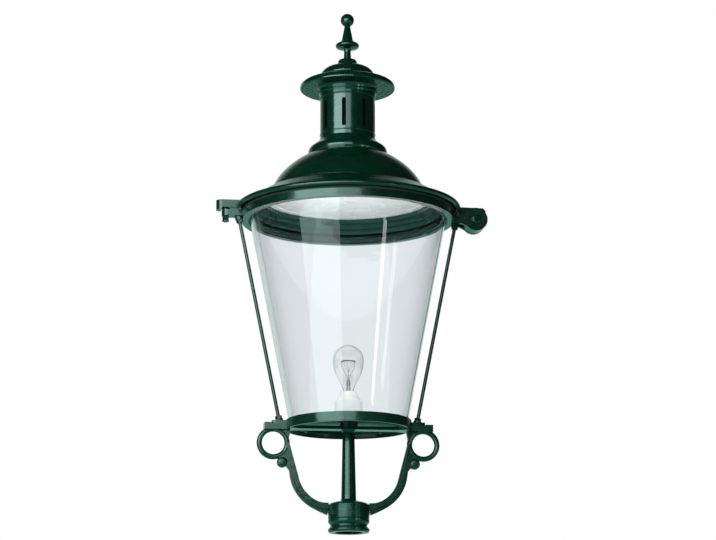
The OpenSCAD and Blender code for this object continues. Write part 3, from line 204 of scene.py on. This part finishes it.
def layFloor(s):  # white paper that glows for the camera and has a level of its own for gloss
    floor = bpy.data.meshes.new("studioFloor")
    w, z = s["floorHalf"], s["floorLevel"]
    floor.from_pydata([(-w, -w, z), (w, -w, z), (w, w, z), (-w, w, z)], [], [(0, 1, 2, 3)])
    laid = bpy.data.objects.new("studioFloor", floor)
    bpy.context.scene.collection.objects.link(laid)
    paper = bpy.data.materials.new("studioPaper")
    paper.use_nodes = True
    tree = paper.node_tree
    tree.nodes.clear()
    ray = add(tree, "LightPath").outputs
    matt = add(tree, "BsdfDiffuse", {"Color": (s["floorWhite"], s["floorWhite"], s["floorWhite"], 1)})
    sheen = add(tree, "Emission", {"Color": linear(s["floorTint"]), "Strength": s["floorGloss"]})
    bounced = add(tree, "Math", {"operation": "MINIMUM", 1: 1.0}, {0: ray["Diffuse Depth"]})
    lift = add(tree, "Math", {"operation": "MULTIPLY_ADD", 1: s["inside"][1], 2: s["floorLift"]},
               {0: bounced.outputs[0]})
    glow = add(tree, "Emission", {"Color": (1, 1, 1, 1)}, {"Strength": lift.outputs[0]})
    both = add(tree, "AddShader", links={0: matt.outputs[0], 1: glow.outputs[0]})
    seen = add(tree, "Math", {"operation": "MAXIMUM"},
               {0: ray["Is Camera Ray"], 1: ray["Is Transmission Ray"]})
    mixed = add(tree, "MixShader", links={0: seen.outputs[0], 1: matt.outputs[0], 2: both.outputs[0]})
    # a ray bent by clear glass counts as gloss too, so transmission is taken off
    outside = add(tree, "Math", {"operation": "SUBTRACT", "use_clamp": True},
                  {0: ray["Is Glossy Ray"], 1: ray["Is Transmission Ray"]})
    whole = add(tree, "MixShader", links={0: outside.outputs[0], 1: mixed.outputs[0], 2: sheen.outputs[0]})
    add(tree, "OutputMaterial", links={"Surface": whole.outputs[0]})
    floor.materials.append(paper)


lightRoom(studio)
hangBoxes(studio)
layFloor(studio)
print("lantern: camera and studio placed")


# Finishes: a pattern's size is in metres, or its name ends in PerMetre and it says how many a metre holds
def blank(name):
    made = bpy.data.materials.new(name)
    made.use_nodes = True
    tree = made.node_tree
    tree.nodes.clear()
    return made, tree, add(tree, "TexCoord").outputs["Object"]


def finishOff(made, tree, shader):
    add(tree, "OutputMaterial", links={"Surface": shader.outputs[0]})
    return made


# Gloss two-part enamel on metal: deep colour, orange peel, the metal's slow unevenness under it,
# fine dust that lightens and dulls it in patches, rain marks that run down, and small specks
def enamel(name, look):
    made, tree, place = blank(name)
    lump = add(tree, "TexNoise", {"Scale": 1 / look["lump"], "Detail": 3.0}, {"Vector": place})
    peel = add(tree, "TexNoise", {"Scale": 1 / look["peel"], "Detail": 2.0}, {"Vector": place})
    dust = add(tree, "TexNoise", {"Scale": look["dustPerMetre"], "Detail": 9.0, "Roughness": 0.7},
               {"Vector": place})
    run = add(tree, "Mapping", {"Scale": look["rainPerMetre"]}, {"Vector": place})
    rain = add(tree, "TexNoise", {"Scale": 1.0, "Detail": 5.0}, {"Vector": run.outputs[0]})
    speck = add(tree, "TexVoronoi", {"Scale": 1 / look["speck"], "Randomness": 1.0}, {"Vector": place})
    tone = add(tree, "MapRange", {"From Min": 0.3, "From Max": 0.7}, {"Value": dust.outputs[0]})
    coat = add(tree, "Mix", {"data_type": "RGBA", 6: linear(look["deep"]), 7: linear(look["paint"])},
               {0: tone.outputs[0]})
    mark = add(tree, "MapRange", {"From Min": 0.62, "From Max": 0.78, "To Max": look["streak"]},
               {"Value": rain.outputs[0]})
    streaked = add(tree, "Mix", {"data_type": "RGBA", 7: linear(look["faded"])},
                   {0: mark.outputs[0], 6: coat.outputs[2]})
    dot = add(tree, "MapRange", {"From Min": 0.10, "From Max": 0.05, "To Max": look["chip"]},
              {"Value": speck.outputs["Distance"]})
    colour = add(tree, "Mix", {"data_type": "RGBA", 7: linear(look["faded"])},
                 {0: dot.outputs[0], 6: streaked.outputs[2]})
    rough = add(tree, "MapRange", {"From Min": 0.3, "From Max": 0.75, "To Min": look["rough"][0],
                                   "To Max": look["rough"][1]}, {"Value": dust.outputs[0]})
    slow = add(tree, "Bump", {"Strength": 1.0, "Distance": look["lumpDepth"]}, {"Height": lump.outputs[0]})
    skin = add(tree, "Bump", {"Strength": 1.0, "Distance": look["peelDepth"]},
               {"Height": peel.outputs[0], "Normal": slow.outputs[0]})
    shader = add(tree, "BsdfPrincipled",
                 {"IOR": 1.5, "Specular Tint": linear(look["sheen"]), "Coat Weight": look["coat"],
                  "Coat Roughness": 0.05, "Coat IOR": 1.5},
                 {"Base Color": colour.outputs[2], "Roughness": rough.outputs[0],
                  "Normal": skin.outputs[0], "Coat Normal": skin.outputs[0]})
    return finishOff(made, tree, shader)


# Plated, drawn or turned metal: fine lines from its making and a mottled bloom, which is rougher too
def bareMetal(name, look):
    made, tree, place = blank(name)
    grain = add(tree, "Mapping", {"Scale": look["linesPerMetre"]}, {"Vector": place})
    lines = add(tree, "TexNoise", {"Scale": 1.0, "Detail": 4.0}, {"Vector": grain.outputs[0]})
    bloom = add(tree, "TexNoise", {"Scale": 1 / look["bloom"], "Detail": 7.0, "Roughness": 0.65},
                {"Vector": place})
    tone = add(tree, "MapRange", {"From Min": 0.35, "From Max": 0.68}, {"Value": bloom.outputs[0]})
    colour = add(tree, "Mix", {"data_type": "RGBA", 6: linear(look["metal"]), 7: linear(look["dull"])},
                 {0: tone.outputs[0]})
    rough = add(tree, "MapRange", {"From Min": 0.3, "From Max": 0.7, "To Min": look["rough"][0],
                                   "To Max": look["rough"][1]}, {"Value": bloom.outputs[0]})
    bump = add(tree, "Bump", {"Strength": 1.0, "Distance": look["depth"]}, {"Height": lines.outputs[0]})
    shader = add(tree, "BsdfPrincipled", {"Metallic": 1.0},
                 {"Base Color": colour.outputs[2], "Roughness": rough.outputs[0],
                  "Normal": bump.outputs[0]})
    return finishOff(made, tree, shader)


# Moulded, fired or extruded parts, and the black liner of painted shade: a fine skin texture and faint
# broad stains, rougher too
def moulded(name, look):
    made, tree, place = blank(name)
    fine = add(tree, "TexNoise", {"Scale": 1 / look["fine"], "Detail": 4.0}, {"Vector": place})
    broad = add(tree, "TexNoise", {"Scale": 1 / look["broad"], "Detail": 6.0}, {"Vector": place})
    tone = add(tree, "MapRange", {"From Min": 0.35, "From Max": 0.7}, {"Value": broad.outputs[0]})
    colour = add(tree, "Mix", {"data_type": "RGBA", 6: linear(look["colour"]), 7: linear(look["stain"])},
                 {0: tone.outputs[0]})
    rough = add(tree, "MapRange", {"From Min": 0.3, "From Max": 0.7, "To Min": look["rough"][0],
                                   "To Max": look["rough"][1]}, {"Value": broad.outputs[0]})
    bump = add(tree, "Bump", {"Strength": 1.0, "Distance": look["depth"]}, {"Height": fine.outputs[0]})
    shader = add(tree, "BsdfPrincipled",
                 {"IOR": look["ior"], "Coat Weight": look.get("coat", 0.0), "Coat Roughness": 0.04,
                  "Specular IOR Level": look.get("gleam", 0.5)},
                 {"Base Color": colour.outputs[2], "Roughness": rough.outputs[0],
                  "Normal": bump.outputs[0]})
    return finishOff(made, tree, shader)


# Clear glass: slow waves in its surface, a trace of dust film in patches, a faint tint
def clearGlass(name, look):
    made, tree, place = blank(name)
    wave = add(tree, "TexNoise", {"Scale": 1 / look["wave"], "Detail": 2.0}, {"Vector": place})
    film = add(tree, "TexNoise", {"Scale": look["filmPerMetre"], "Detail": 8.0, "Roughness": 0.65},
               {"Vector": place})
    rough = add(tree, "MapRange", {"From Min": 0.5, "From Max": 0.85, "To Min": 0.0,
                                   "To Max": look["film"]}, {"Value": film.outputs[0]})
    bump = add(tree, "Bump", {"Strength": 1.0, "Distance": look["waveDepth"]}, {"Height": wave.outputs[0]})
    shader = add(tree, "BsdfPrincipled",
                 {"Base Color": linear(look["tint"]), "IOR": look["ior"], "Transmission Weight": 1.0},
                 {"Roughness": rough.outputs[0], "Normal": bump.outputs[0]})
    return finishOff(made, tree, shader)


# The lantern's own paint, nearly black where nothing bright is mirrored in it
greenLook = {
    "paint": "#032317", "deep": "#021910",
    "sheen": "#b8fff0",  # tint of what is mirrored in it
    "faded": "#0e2e23",  # colour of the rain marks and the specks
    "streak": 0.12, "chip": 0.07,  # how much the marks and the specks show
    "lump": 0.024, "lumpDepth": 0.00018,
    "peel": 0.0032, "peelDepth": 0.000008,
    "speck": 0.009,
    "dustPerMetre": 38.0,  # patches about 26 mm wide
    "rainPerMetre": (70.0, 70.0, 5.0),  # runs about 14 mm wide and 200 mm long
    "rough": (0.15, 0.25), "coat": 0.25,
}
castLook = {**greenLook, "lump": 0.013, "lumpDepth": 0.00025, "peelDepth": 0.000012,
            "rough": (0.18, 0.3), "coat": 0.2}
finishes = {
    # spun or drawn metal under the paint: long smooth reflections that waver slowly
    "spunEnamel": enamel("spunEnamelGreen", greenLook),
    # castings and their fittings: closer and deeper unevenness, so that reflections break up sooner
    "castEnamel": enamel("castEnamelGreen", castLook),
    # the fork's castings and the bottom ring: the same paint made a shade lighter, which is painted light
    "forkPaintedLightEnamel": enamel("forkEnamelGreen", {**castLook, "paint": "#042b1e", "deep": "#031f15"}),
    # the stepped ring inside the roof: the same green made lighter, painted light so that it shows brighter
    # through the glass
    "skirtPaintedLightEnamel": enamel("skirtEnamelGreen", {**greenLook, "paint": "#0e4a39", "deep": "#09382b"}),
    # thin paint on the pan and on the vent plate: dark and half matt
    "insideEnamel": enamel("insideEnamelDark", {**greenLook, "paint": "#0a2a22", "deep": "#061b16",
                                                "rough": (0.3, 0.5), "coat": 0.1}),
    # zinc-plated steel screws and rods: cool grey, fine turned lines, a dull bloom
    "zincSteel": bareMetal("zincPlatedSteel", {
        "metal": "#b9bdba", "dull": "#8f938c", "linesPerMetre": (900.0, 900.0, 60.0), "bloom": 0.006,
        "rough": (0.28, 0.5), "depth": 0.00002}),
    # turned brass: yellow, with close rings, brown where it has dulled
    "brass": bareMetal("turnedBrass", {
        "metal": "#cfa85a", "dull": "#93703a", "linesPerMetre": (60.0, 60.0, 1500.0), "bloom": 0.004,
        "rough": (0.22, 0.45), "depth": 0.00001}),
    # nickel on rolled brass: bright and slightly warm, with fine rings round it
    "capNickel": bareMetal("nickelledCap", {
        "metal": "#cfcfca", "dull": "#a7a69d", "linesPerMetre": (40.0, 40.0, 1600.0), "bloom": 0.005,
        "rough": (0.2, 0.38), "depth": 0.00001}),
    # drawn tungsten wire: dark grey and dull
    "tungsten": bareMetal("tungstenWire", {
        "metal": "#77736c", "dull": "#5a554e", "linesPerMetre": (900.0, 900.0, 900.0), "bloom": 0.002,
        "rough": (0.4, 0.55), "depth": 0.00001}),
    # stove enamel on sheet: an even white with a soft gloss
    "whiteEnamel": moulded("whiteStoveEnamel", {
        "colour": "#f4f5f3", "stain": "#e6e7e3", "fine": 0.002, "broad": 0.06, "rough": (0.22, 0.36),
        "depth": 0.000012, "ior": 1.5, "coat": 0.3}),
    # glazed porcelain: warm white under a hard clear glaze with sharp highlights
    "porcelain": moulded("glazedPorcelain", {
        "colour": "#f3f1ea", "stain": "#e4e0d4", "fine": 0.0016, "broad": 0.012, "rough": (0.1, 0.2),
        "depth": 0.00001, "ior": 1.5, "coat": 0.6}),
    # painted shade on the steel liner: a dead black with almost no gloss, which keeps the slots dark in any
    # light
    "linerPaintedShade": moulded("linerShadeBlack", {
        "colour": "#080908", "stain": "#121211", "fine": 0.0008, "broad": 0.02, "rough": (0.85, 0.98),
        "depth": 0.00003, "ior": 1.5, "gleam": 0.04}),
    # moulded silicone: dull green, with a soft sheen along its edge
    "greenSilicone": moulded("greenSilicone", {
        "colour": "#104437", "stain": "#0c352b", "fine": 0.0011, "broad": 0.015, "rough": (0.3, 0.5),
        "depth": 0.00002, "ior": 1.43}),
    # vulcanised EPDM rubber: matt black, grey where dust clings
    "rubber": moulded("epdmRubber", {
        "colour": "#1b1d1d", "stain": "#2b2d2c", "fine": 0.0011, "broad": 0.015, "rough": (0.6, 0.85),
        "depth": 0.00003, "ior": 1.5}),
    # injection moulded polyamide: warm light grey, half matt
    "polyamide": moulded("greyPolyamide", {
        "colour": "#d6d4cc", "stain": "#c4c1b6", "fine": 0.0008, "broad": 0.01, "rough": (0.4, 0.58),
        "depth": 0.00002, "ior": 1.53}),
    # black glass pressed into the lamp's cap: black and shiny
    "capGlass": moulded("blackCapGlass", {
        "colour": "#15161a", "stain": "#24262a", "fine": 0.001, "broad": 0.004, "rough": (0.12, 0.25),
        "depth": 0.00001, "ior": 1.6}),
    # extruded PVC round the wires: brown in some places and blue in others, half matt
    "wirePvc": moulded("wirePvc", {
        "colour": "#6b4a38", "stain": "#4f5a78", "fine": 0.001, "broad": 0.018, "rough": (0.35, 0.5),
        "depth": 0.00001, "ior": 1.53}),
    # blown borosilicate: all but colourless, slow waves in what it mirrors, a trace of dust film
    "coneGlass": clearGlass("borosilicateCone", {
        "tint": "#f4f7f9", "ior": 1.47, "wave": 0.13, "waveDepth": 0.0004, "film": 0.06,
        "filmPerMetre": 12.0}),
    # blown soda lime glass, thin: it shows by its edges and small bright reflections
    "bulbGlass": clearGlass("sodaLimeBulb", {
        "tint": "#fdfdfd", "ior": 1.51, "wave": 0.03, "waveDepth": 0.0001, "film": 0.03,
        "filmPerMetre": 12.0}),
    # pressed lead glass of the lamp's mount: denser, with brighter edges
    "mountGlass": clearGlass("leadGlassMount", {
        "tint": "#eef2f1", "ior": 1.56, "wave": 0.01, "waveDepth": 0.0001, "film": 0.05,
        "filmPerMetre": 12.0}),
}
print("lantern: finishes mixed", len(finishes))


# The CAD pieces, welded and dressed
dressed = {
    "spunEnamel": ["roof_dome", "shoulder_collar", "chimney", "cap_dome", "cap_flange", "neck_ring",
                   "finial", "centre_stem", "stay_rod_left", "stay_rod_right"],
    # the stepped ring takes the lighter copy of the paint, which is painted light
    "skirtPaintedLightEnamel": ["inner_skirt"],
    # the fork and the bottom ring take a lighter copy of the paint, which is painted light
    "forkPaintedLightEnamel": ["fork_hub", "fork_arm_left", "fork_arm_right", "bottom_ring"],
    "castEnamel": ["top_ring", "roof_brim", "stay_nuts", "hinge_pin", "hinge_nut", "latch_bolt",
                   "wing_handle", "latch_nut"],
    "insideEnamel": ["bottom_pan", "vent_plate"],
    # the liner takes the dead black that is painted shade
    "linerPaintedShade": ["chimney_liner"],
    "zincSteel": ["arm_screws", "grub_screws", "stem_nut", "pan_screws", "skirt_screws", "dome_bolts",
                  "liner_screws", "tie_rod", "tie_bridge", "tie_nut", "plinth_screws"],
    "whiteEnamel": ["reflector_plate", "reflector_screws", "lamp_plinth"],
    "porcelain": ["lampholder"],
    "greenSilicone": ["top_gasket"],
    "rubber": ["bottom_gasket", "hood_gasket"],
    "polyamide": ["cable_gland", "terminal_block"],
    "brass": ["holder_contacts", "earth_screw"],
    "wirePvc": ["lead_wires"],
}
# How near doubles are merged, in metres, and the angle past which an edge is sharp, in degrees
weld = {"cadReach": 2e-6, "cadCrease": 32.0, "reach": 1e-6, "crease": 38.0}
bodyOf = {n: body for body, members in frame["record"]["behaviour"]["bodies"].items() for n in members}


def settle(name, mesh, body, finish, replaced=()):  # links a finished mesh and says what it rides on
    made = bpy.data.objects.new(name, mesh)
    bpy.context.scene.collection.objects.link(made)
    mesh.materials.clear()
    mesh.materials.append(finishes[finish])
    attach(made, body)
    if replaced:
        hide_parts(*replaced)
    return made


def welded(mesh, reach, crease, turnOut=False):  # merges doubles and shades smooth between the sharp edges
    work = bmesh.new()
    work.from_mesh(mesh)
    bmesh.ops.remove_doubles(work, verts=work.verts, dist=reach)
    if turnOut:
        bmesh.ops.recalc_face_normals(work, faces=work.faces)
    work.to_mesh(mesh)
    work.free()
    if mesh.has_custom_normals:
        mesh.attributes.remove(mesh.attributes["custom_normal"])
    mesh.shade_smooth()
    mesh.set_sharp_from_angle(angle=math.radians(crease))
    return mesh


for finish, members in dressed.items():
    for node in members:
        mesh = nodes[node].data.copy()
        mesh.name = node + "Skin"
        welded(mesh, weld["cadReach"], weld["cadCrease"])
        settle(node + "_skin", mesh, bodyOf[node], finish, [node])
print("lantern: CAD pieces dressed")


# Surfaces worked out in numpy, with their sizes in millimetres and heights above the lantern's origin
def gridFaces(rows, cols, closeRows, closeCols):  # quads of a rows by cols grid, wrapped where asked
    i = np.arange(rows if closeRows else rows - 1)[:, None]
    j = np.arange(cols if closeCols else cols - 1)[None, :]
    a, b = (i + 1) % rows, (j + 1) % cols
    return np.stack([i * cols + j, i * cols + b, a * cols + b, a * cols + j], axis=-1).reshape(-1, 4)


# Cubic Bezier points: u cubed p0 + 3 u squared t p1 + 3 u t squared p2 + t cubed p3, where u = 1 - t
def bezier(p0, p1, p2, p3, n):
    t = np.linspace(0, 1, n)[:, None]
    u = 1 - t
    p0, p1, p2, p3 = (np.array(p) for p in (p0, p1, p2, p3))
    return u ** 3 * p0 + 3 * u * u * t * p1 + 3 * u * t * t * p2 + t ** 3 * p3


def arc(cx, cz, r, start, end, n):  # points on a circle between two angles in degrees
    a = np.radians(np.linspace(start, end, n))
    return np.stack([cx + r * np.cos(a), cz + r * np.sin(a)], axis=1)


def meshFrom(name, points, faces):
    mesh = bpy.data.meshes.new(name)
    mesh.from_pydata(points.tolist(), [], faces.tolist())
    return welded(mesh, weld["reach"], weld["crease"], turnOut=True)


# A closed outline of (radius, height) turned about the lantern's axis: x = r cos a, y = r sin a, z = h
def turned(name, outline, around):
    rz = np.vstack(outline) / 1000.0
    a = np.linspace(0, 2 * np.pi, around, endpoint=False)
    x, y, z = rz[:, :1] * np.cos(a), rz[:, :1] * np.sin(a), np.repeat(rz[:, 1:], around, 1)
    points = np.stack([x, y, z], axis=-1).reshape(-1, 3)
    return meshFrom(name, points, gridFaces(len(rz), around, True, True))


# A round bar along a path: each ring stands across the path's direction at its point,
# and a ring's points are p + r (cos a across + sin a other)
def drawnWire(name, path, radius, around):
    p = np.asarray(path, float) / 1000.0
    along = np.gradient(p, axis=0)
    along /= np.linalg.norm(along, axis=1)[:, None]
    guide = np.array([0.31, 0.17, 0.94])  # a direction that none of these wires takes
    across = np.cross(along, guide)
    across /= np.linalg.norm(across, axis=1)[:, None]
    other = np.cross(along, across)
    a = np.linspace(0, 2 * np.pi, around, endpoint=False)[None, :, None]
    p, across, other = (np.vstack([v[:1], v, v[-1:]]) for v in (p, across, other))
    r = np.full(len(p), radius / 1000.0)
    r[[0, -1]] = 1e-5  # drawn to a point, so each end is closed
    ring = np.cos(a) * across[:, None, :] + np.sin(a) * other[:, None, :]
    rings = p[:, None, :] + r[:, None, None] * ring
    return meshFrom(name, rings.reshape(-1, 3), gridFaces(len(p), around, False, True))


# The glass: a cone whose wall is even, with both rims fire polished to a half round
cone = {
    "lowRadius": 129.1, "highRadius": 218.5, "low": 238.0, "high": 698.0, "wall": 4.0,
    "rows": 24, "around": 256, "rim": 9,
    "edge": 0.6,  # close rows at both ends keep the walls' shading true
}


def glassOutline(c):
    slope = (c["highRadius"] - c["lowRadius"]) / (c["high"] - c["low"])
    across = c["wall"] * math.sqrt(1 + slope * slope)
    half = across / 2
    low, high = c["low"] + half, c["high"] - half
    close = np.array([0.0, c["edge"]])
    z = np.concatenate([low + close, np.linspace(low, high, c["rows"])[1:-1], high - close[::-1]])
    outer = c["lowRadius"] + (z - c["low"]) * slope
    top = arc(outer[-1] - half, z[-1], half, 0, 180, c["rim"])[1:-1]
    foot = arc(outer[0] - half, z[0], half, 180, 360, c["rim"])[1:-1]
    return [np.stack([outer, z], axis=1), top, np.stack([outer - across, z], axis=1)[::-1], foot]


settle("glassCone", turned("glassCone", glassOutline(cone), cone["around"]), "base", "coneGlass",
       ["glass_cone"])

# The bulb: straight neck, a long flare and a full round crown, one even wall inside
bulb = {
    "neck": 11.2, "crown": 34.0,  # radii
    "neckZ": 300.5, "flareZ": 305.5, "top": 411.0,
    "pull": (14.4, 333.0),  # where the foot of the flare is drawn to
    "drop": 36.0,  # how far under the crown's middle the flare is drawn straight down
    "wall": 1.2, "steps": 26, "around": 96,
}


def bulbOutline(b):
    centre = b["top"] - b["crown"]
    skin = np.vstack([[[b["neck"], b["neckZ"]], [b["neck"], b["flareZ"] - 1]],
                      bezier((b["neck"], b["flareZ"]), b["pull"], (b["crown"], centre - b["drop"]),
                             (b["crown"], centre), b["steps"]),
                      arc(0, centre, b["crown"], 0, 90, b["steps"])[1:]])
    step = np.gradient(skin, axis=0)
    step /= np.linalg.norm(step, axis=1)[:, None]
    inner = skin - b["wall"] * np.stack([step[:, 1], -step[:, 0]], axis=1)
    inner[-1] = [0, b["top"] - b["wall"]]
    inner[:, 0] = np.maximum(inner[:, 0], 0)
    return [skin, inner[::-1]]


settle("bulbGlass", turned("bulbGlass", bulbOutline(bulb), bulb["around"]), "lamp", "bulbGlass",
       ["lamp_bulb"])

# The screw cap: a thin shell whose radius is a mean plus a wave that climbs one pitch a turn
cap = {
    "low": 285.0, "high": 306.0, "mean": 12.4, "wave": 0.6, "pitch": 3.63, "wall": 0.5,
    "plain": 2.0, "fade": 3.0,  # the rim without a thread, and the length in which the thread dies away
    "rows": 110, "around": 72,
}


def screwShell(c):
    z = np.linspace(c["low"], c["high"], c["rows"])[:, None]
    a = np.linspace(0, 2 * np.pi, c["around"], endpoint=False)[None, :]
    rise = np.clip((z - c["low"]) / c["fade"], 0, 1)
    fall = np.clip((c["high"] - c["plain"] - z) / c["fade"], 0, 1)
    r = c["mean"] + c["wave"] * (rise * fall) * np.cos(2 * np.pi * z / c["pitch"] - a)
    inner = r[::-1] - c["wall"]
    r2, z2 = np.vstack([r, inner]), np.vstack([z, z[::-1]]) * np.ones_like(a)
    points = np.stack([r2 * np.cos(a), r2 * np.sin(a), z2], axis=-1).reshape(-1, 3) / 1000.0
    return meshFrom("capShell", points, gridFaces(2 * c["rows"], c["around"], True, True))


settle("capShell", screwShell(cap), "lamp", "capNickel", ["lamp_cap"])

# The cap's foot: black glass from the flat round the contact out to the shell, and the solder under it
foot = {"low": 280.4, "high": 286.6, "flat": 4.4, "edge": 12.0, "around": 64}
solder = {"low": 279.7, "high": 281.0, "flat": 2.2, "edge": 3.9, "round": 1.1, "around": 40}


def footOutline(f):
    flat, edge, low, high = f["flat"], f["edge"], f["low"], f["high"]
    return [[[0, low], [flat, low], [flat + 0.6, low + 1]],
            bezier((flat + 1, low + 1.9), (edge - 4, low + 2.2), (edge - 1, low + 3.2),
                   (edge, low + 5.2), 8),
            [[edge - 0.3, high], [0, high - 0.4]]]


def solderOutline(s):
    side = arc(s["edge"] - 1.3, s["low"] + 1.2, s["round"], -70, 20, 5)
    return [[[0, s["low"]], [s["flat"], s["low"] + 0.1]], side, [[s["edge"], s["high"]], [0, s["high"]]]]


settle("capGlass", turned("capGlass", footOutline(foot), foot["around"]), "lamp", "capGlass")
settle("capContact", turned("capContact", solderOutline(solder), solder["around"]), "lamp", "capNickel")
print("lantern: glass, bulb and screw cap turned")

# The inner mount: a flared glass tube pinched shut, with a rod and its round button above the pinch
mount = {
    "flare": 8.6, "tube": 4.4, "bore": 3.0, "rod": 1.2, "button": 2.3,  # radii
    "low": 301.0, "tubeZ": 318.0, "pinchZ": 334.0, "buttonZ": 351.6,
    "around": 48,
}
# The filament's coil, the lead-ins that hold its ends and the supports between them
coil = {
    "z": 375.0, "spread": 15.0,  # height, and radius of the arc that it lies along
    "squash": 0.96,  # depth of that arc as a share of its width
    "dips": 5, "dip": 1.2,  # spans between the supports, and how far each hangs
    "turns": 90, "perTurn": 10, "radius": 0.9,
    "wire": 0.28, "leadWire": 0.45, "supportWire": 0.3,  # radii
}


def mountOutline(m):
    tube, rod, bore, low, tubeZ, pinchZ = (m[k] for k in ("tube", "rod", "bore", "low", "tubeZ", "pinchZ"))
    return [[[bore + 0.2, low + 0.2], [m["flare"], low]],
            bezier((m["flare"] + 0.2, low + 1), (m["flare"] - 2.2, low + 3), (tube + 0.2, low + 8),
                   (tube, tubeZ), 12),
            bezier((tube, tubeZ + 4), (tube, pinchZ - 6), (tube - 0.4, pinchZ - 3), (tube - 1, pinchZ), 8),
            [[tube - 2, pinchZ + 1.5], [rod + 0.1, pinchZ + 2.5]],
            bezier((rod, pinchZ + 6), (rod, pinchZ + 12), (rod, pinchZ + 16), (rod + 0.9, pinchZ + 17), 6),
            arc(0, m["buttonZ"], m["button"], 10, 90, 6),
            [[0, pinchZ]],
            [[bore - 0.4, pinchZ - 2.5], [bore, tubeZ]]]


def leadIn(side):  # up through the pinch, then out and up to the end of the coil, with a hook round it
    def at(x, z):
        return (x * side, 0, z)

    low, pinchZ, wide, top = mount["low"], mount["pinchZ"], coil["spread"], coil["z"]
    return np.vstack([
        bezier(at(2, low + 1), at(2, low + 14), at(1.8, pinchZ - 9), at(1.8, pinchZ - 1), 8),
        bezier(at(1.8, pinchZ), at(1.8, pinchZ + 16), at(wide, pinchZ + 18), at(wide, top - 1), 22),
        bezier(at(wide, top - 0.5), at(wide, top + 1.5), at(wide - 1, top + 1.8),
               at(wide - 1.8, top + 0.2), 8)])


# A fine helix wound about an arc that dips between its supports:
# point = arc point + radius (cos w outwards + sin w upwards), with w from 0 to 2 pi turns
def filament(c):
    t = np.linspace(0, 1, c["turns"] * c["perTurn"])
    angle = np.pi * (1 + t)
    hang = c["dip"] * np.abs(np.sin(c["dips"] * np.pi * t))
    x, y = c["spread"] * np.cos(angle), c["spread"] * c["squash"] * np.sin(angle)
    centre = np.stack([x, y, c["z"] - hang], axis=1)
    out = np.stack([np.cos(angle), np.sin(angle), 0 * angle], axis=1)
    wind = (2 * np.pi * c["turns"] * t)[:, None]
    return centre + c["radius"] * (np.cos(wind) * out + np.sin(wind) * np.array([0, 0, 1.0]))


def support(c, k):  # from the glass button out to the coil, where two of its spans meet
    a = math.pi * (1 + k / c["dips"])
    x, y, z = c["spread"] * math.cos(a), c["spread"] * c["squash"] * math.sin(a), c["z"] - 0.6
    root = mount["buttonZ"] - 0.1
    return bezier((0, 0, root), (x * 0.3, y * 0.3, root + 4.5), (x * 0.8, y * 0.8, z - 8.4), (x, y, z), 16)


settle("mountStem", turned("mountStem", mountOutline(mount), mount["around"]), "lamp", "mountGlass",
       ["lamp_mount"])
wires = {  # for each its path, its radius and its number of sides
    "leadInLeft": (leadIn(-1), coil["leadWire"], 10),
    "leadInRight": (leadIn(1), coil["leadWire"], 10),
    "filamentCoil": (filament(coil), coil["wire"], 6),
}
for k in range(1, coil["dips"]):
    wires["support%d" % k] = (support(coil, k), coil["supportWire"], 8)
for name, (path, radius, around) in wires.items():
    settle(name, drawnWire(name, path, radius, around), "lamp", "tungsten")
print("lantern: lamp filled")
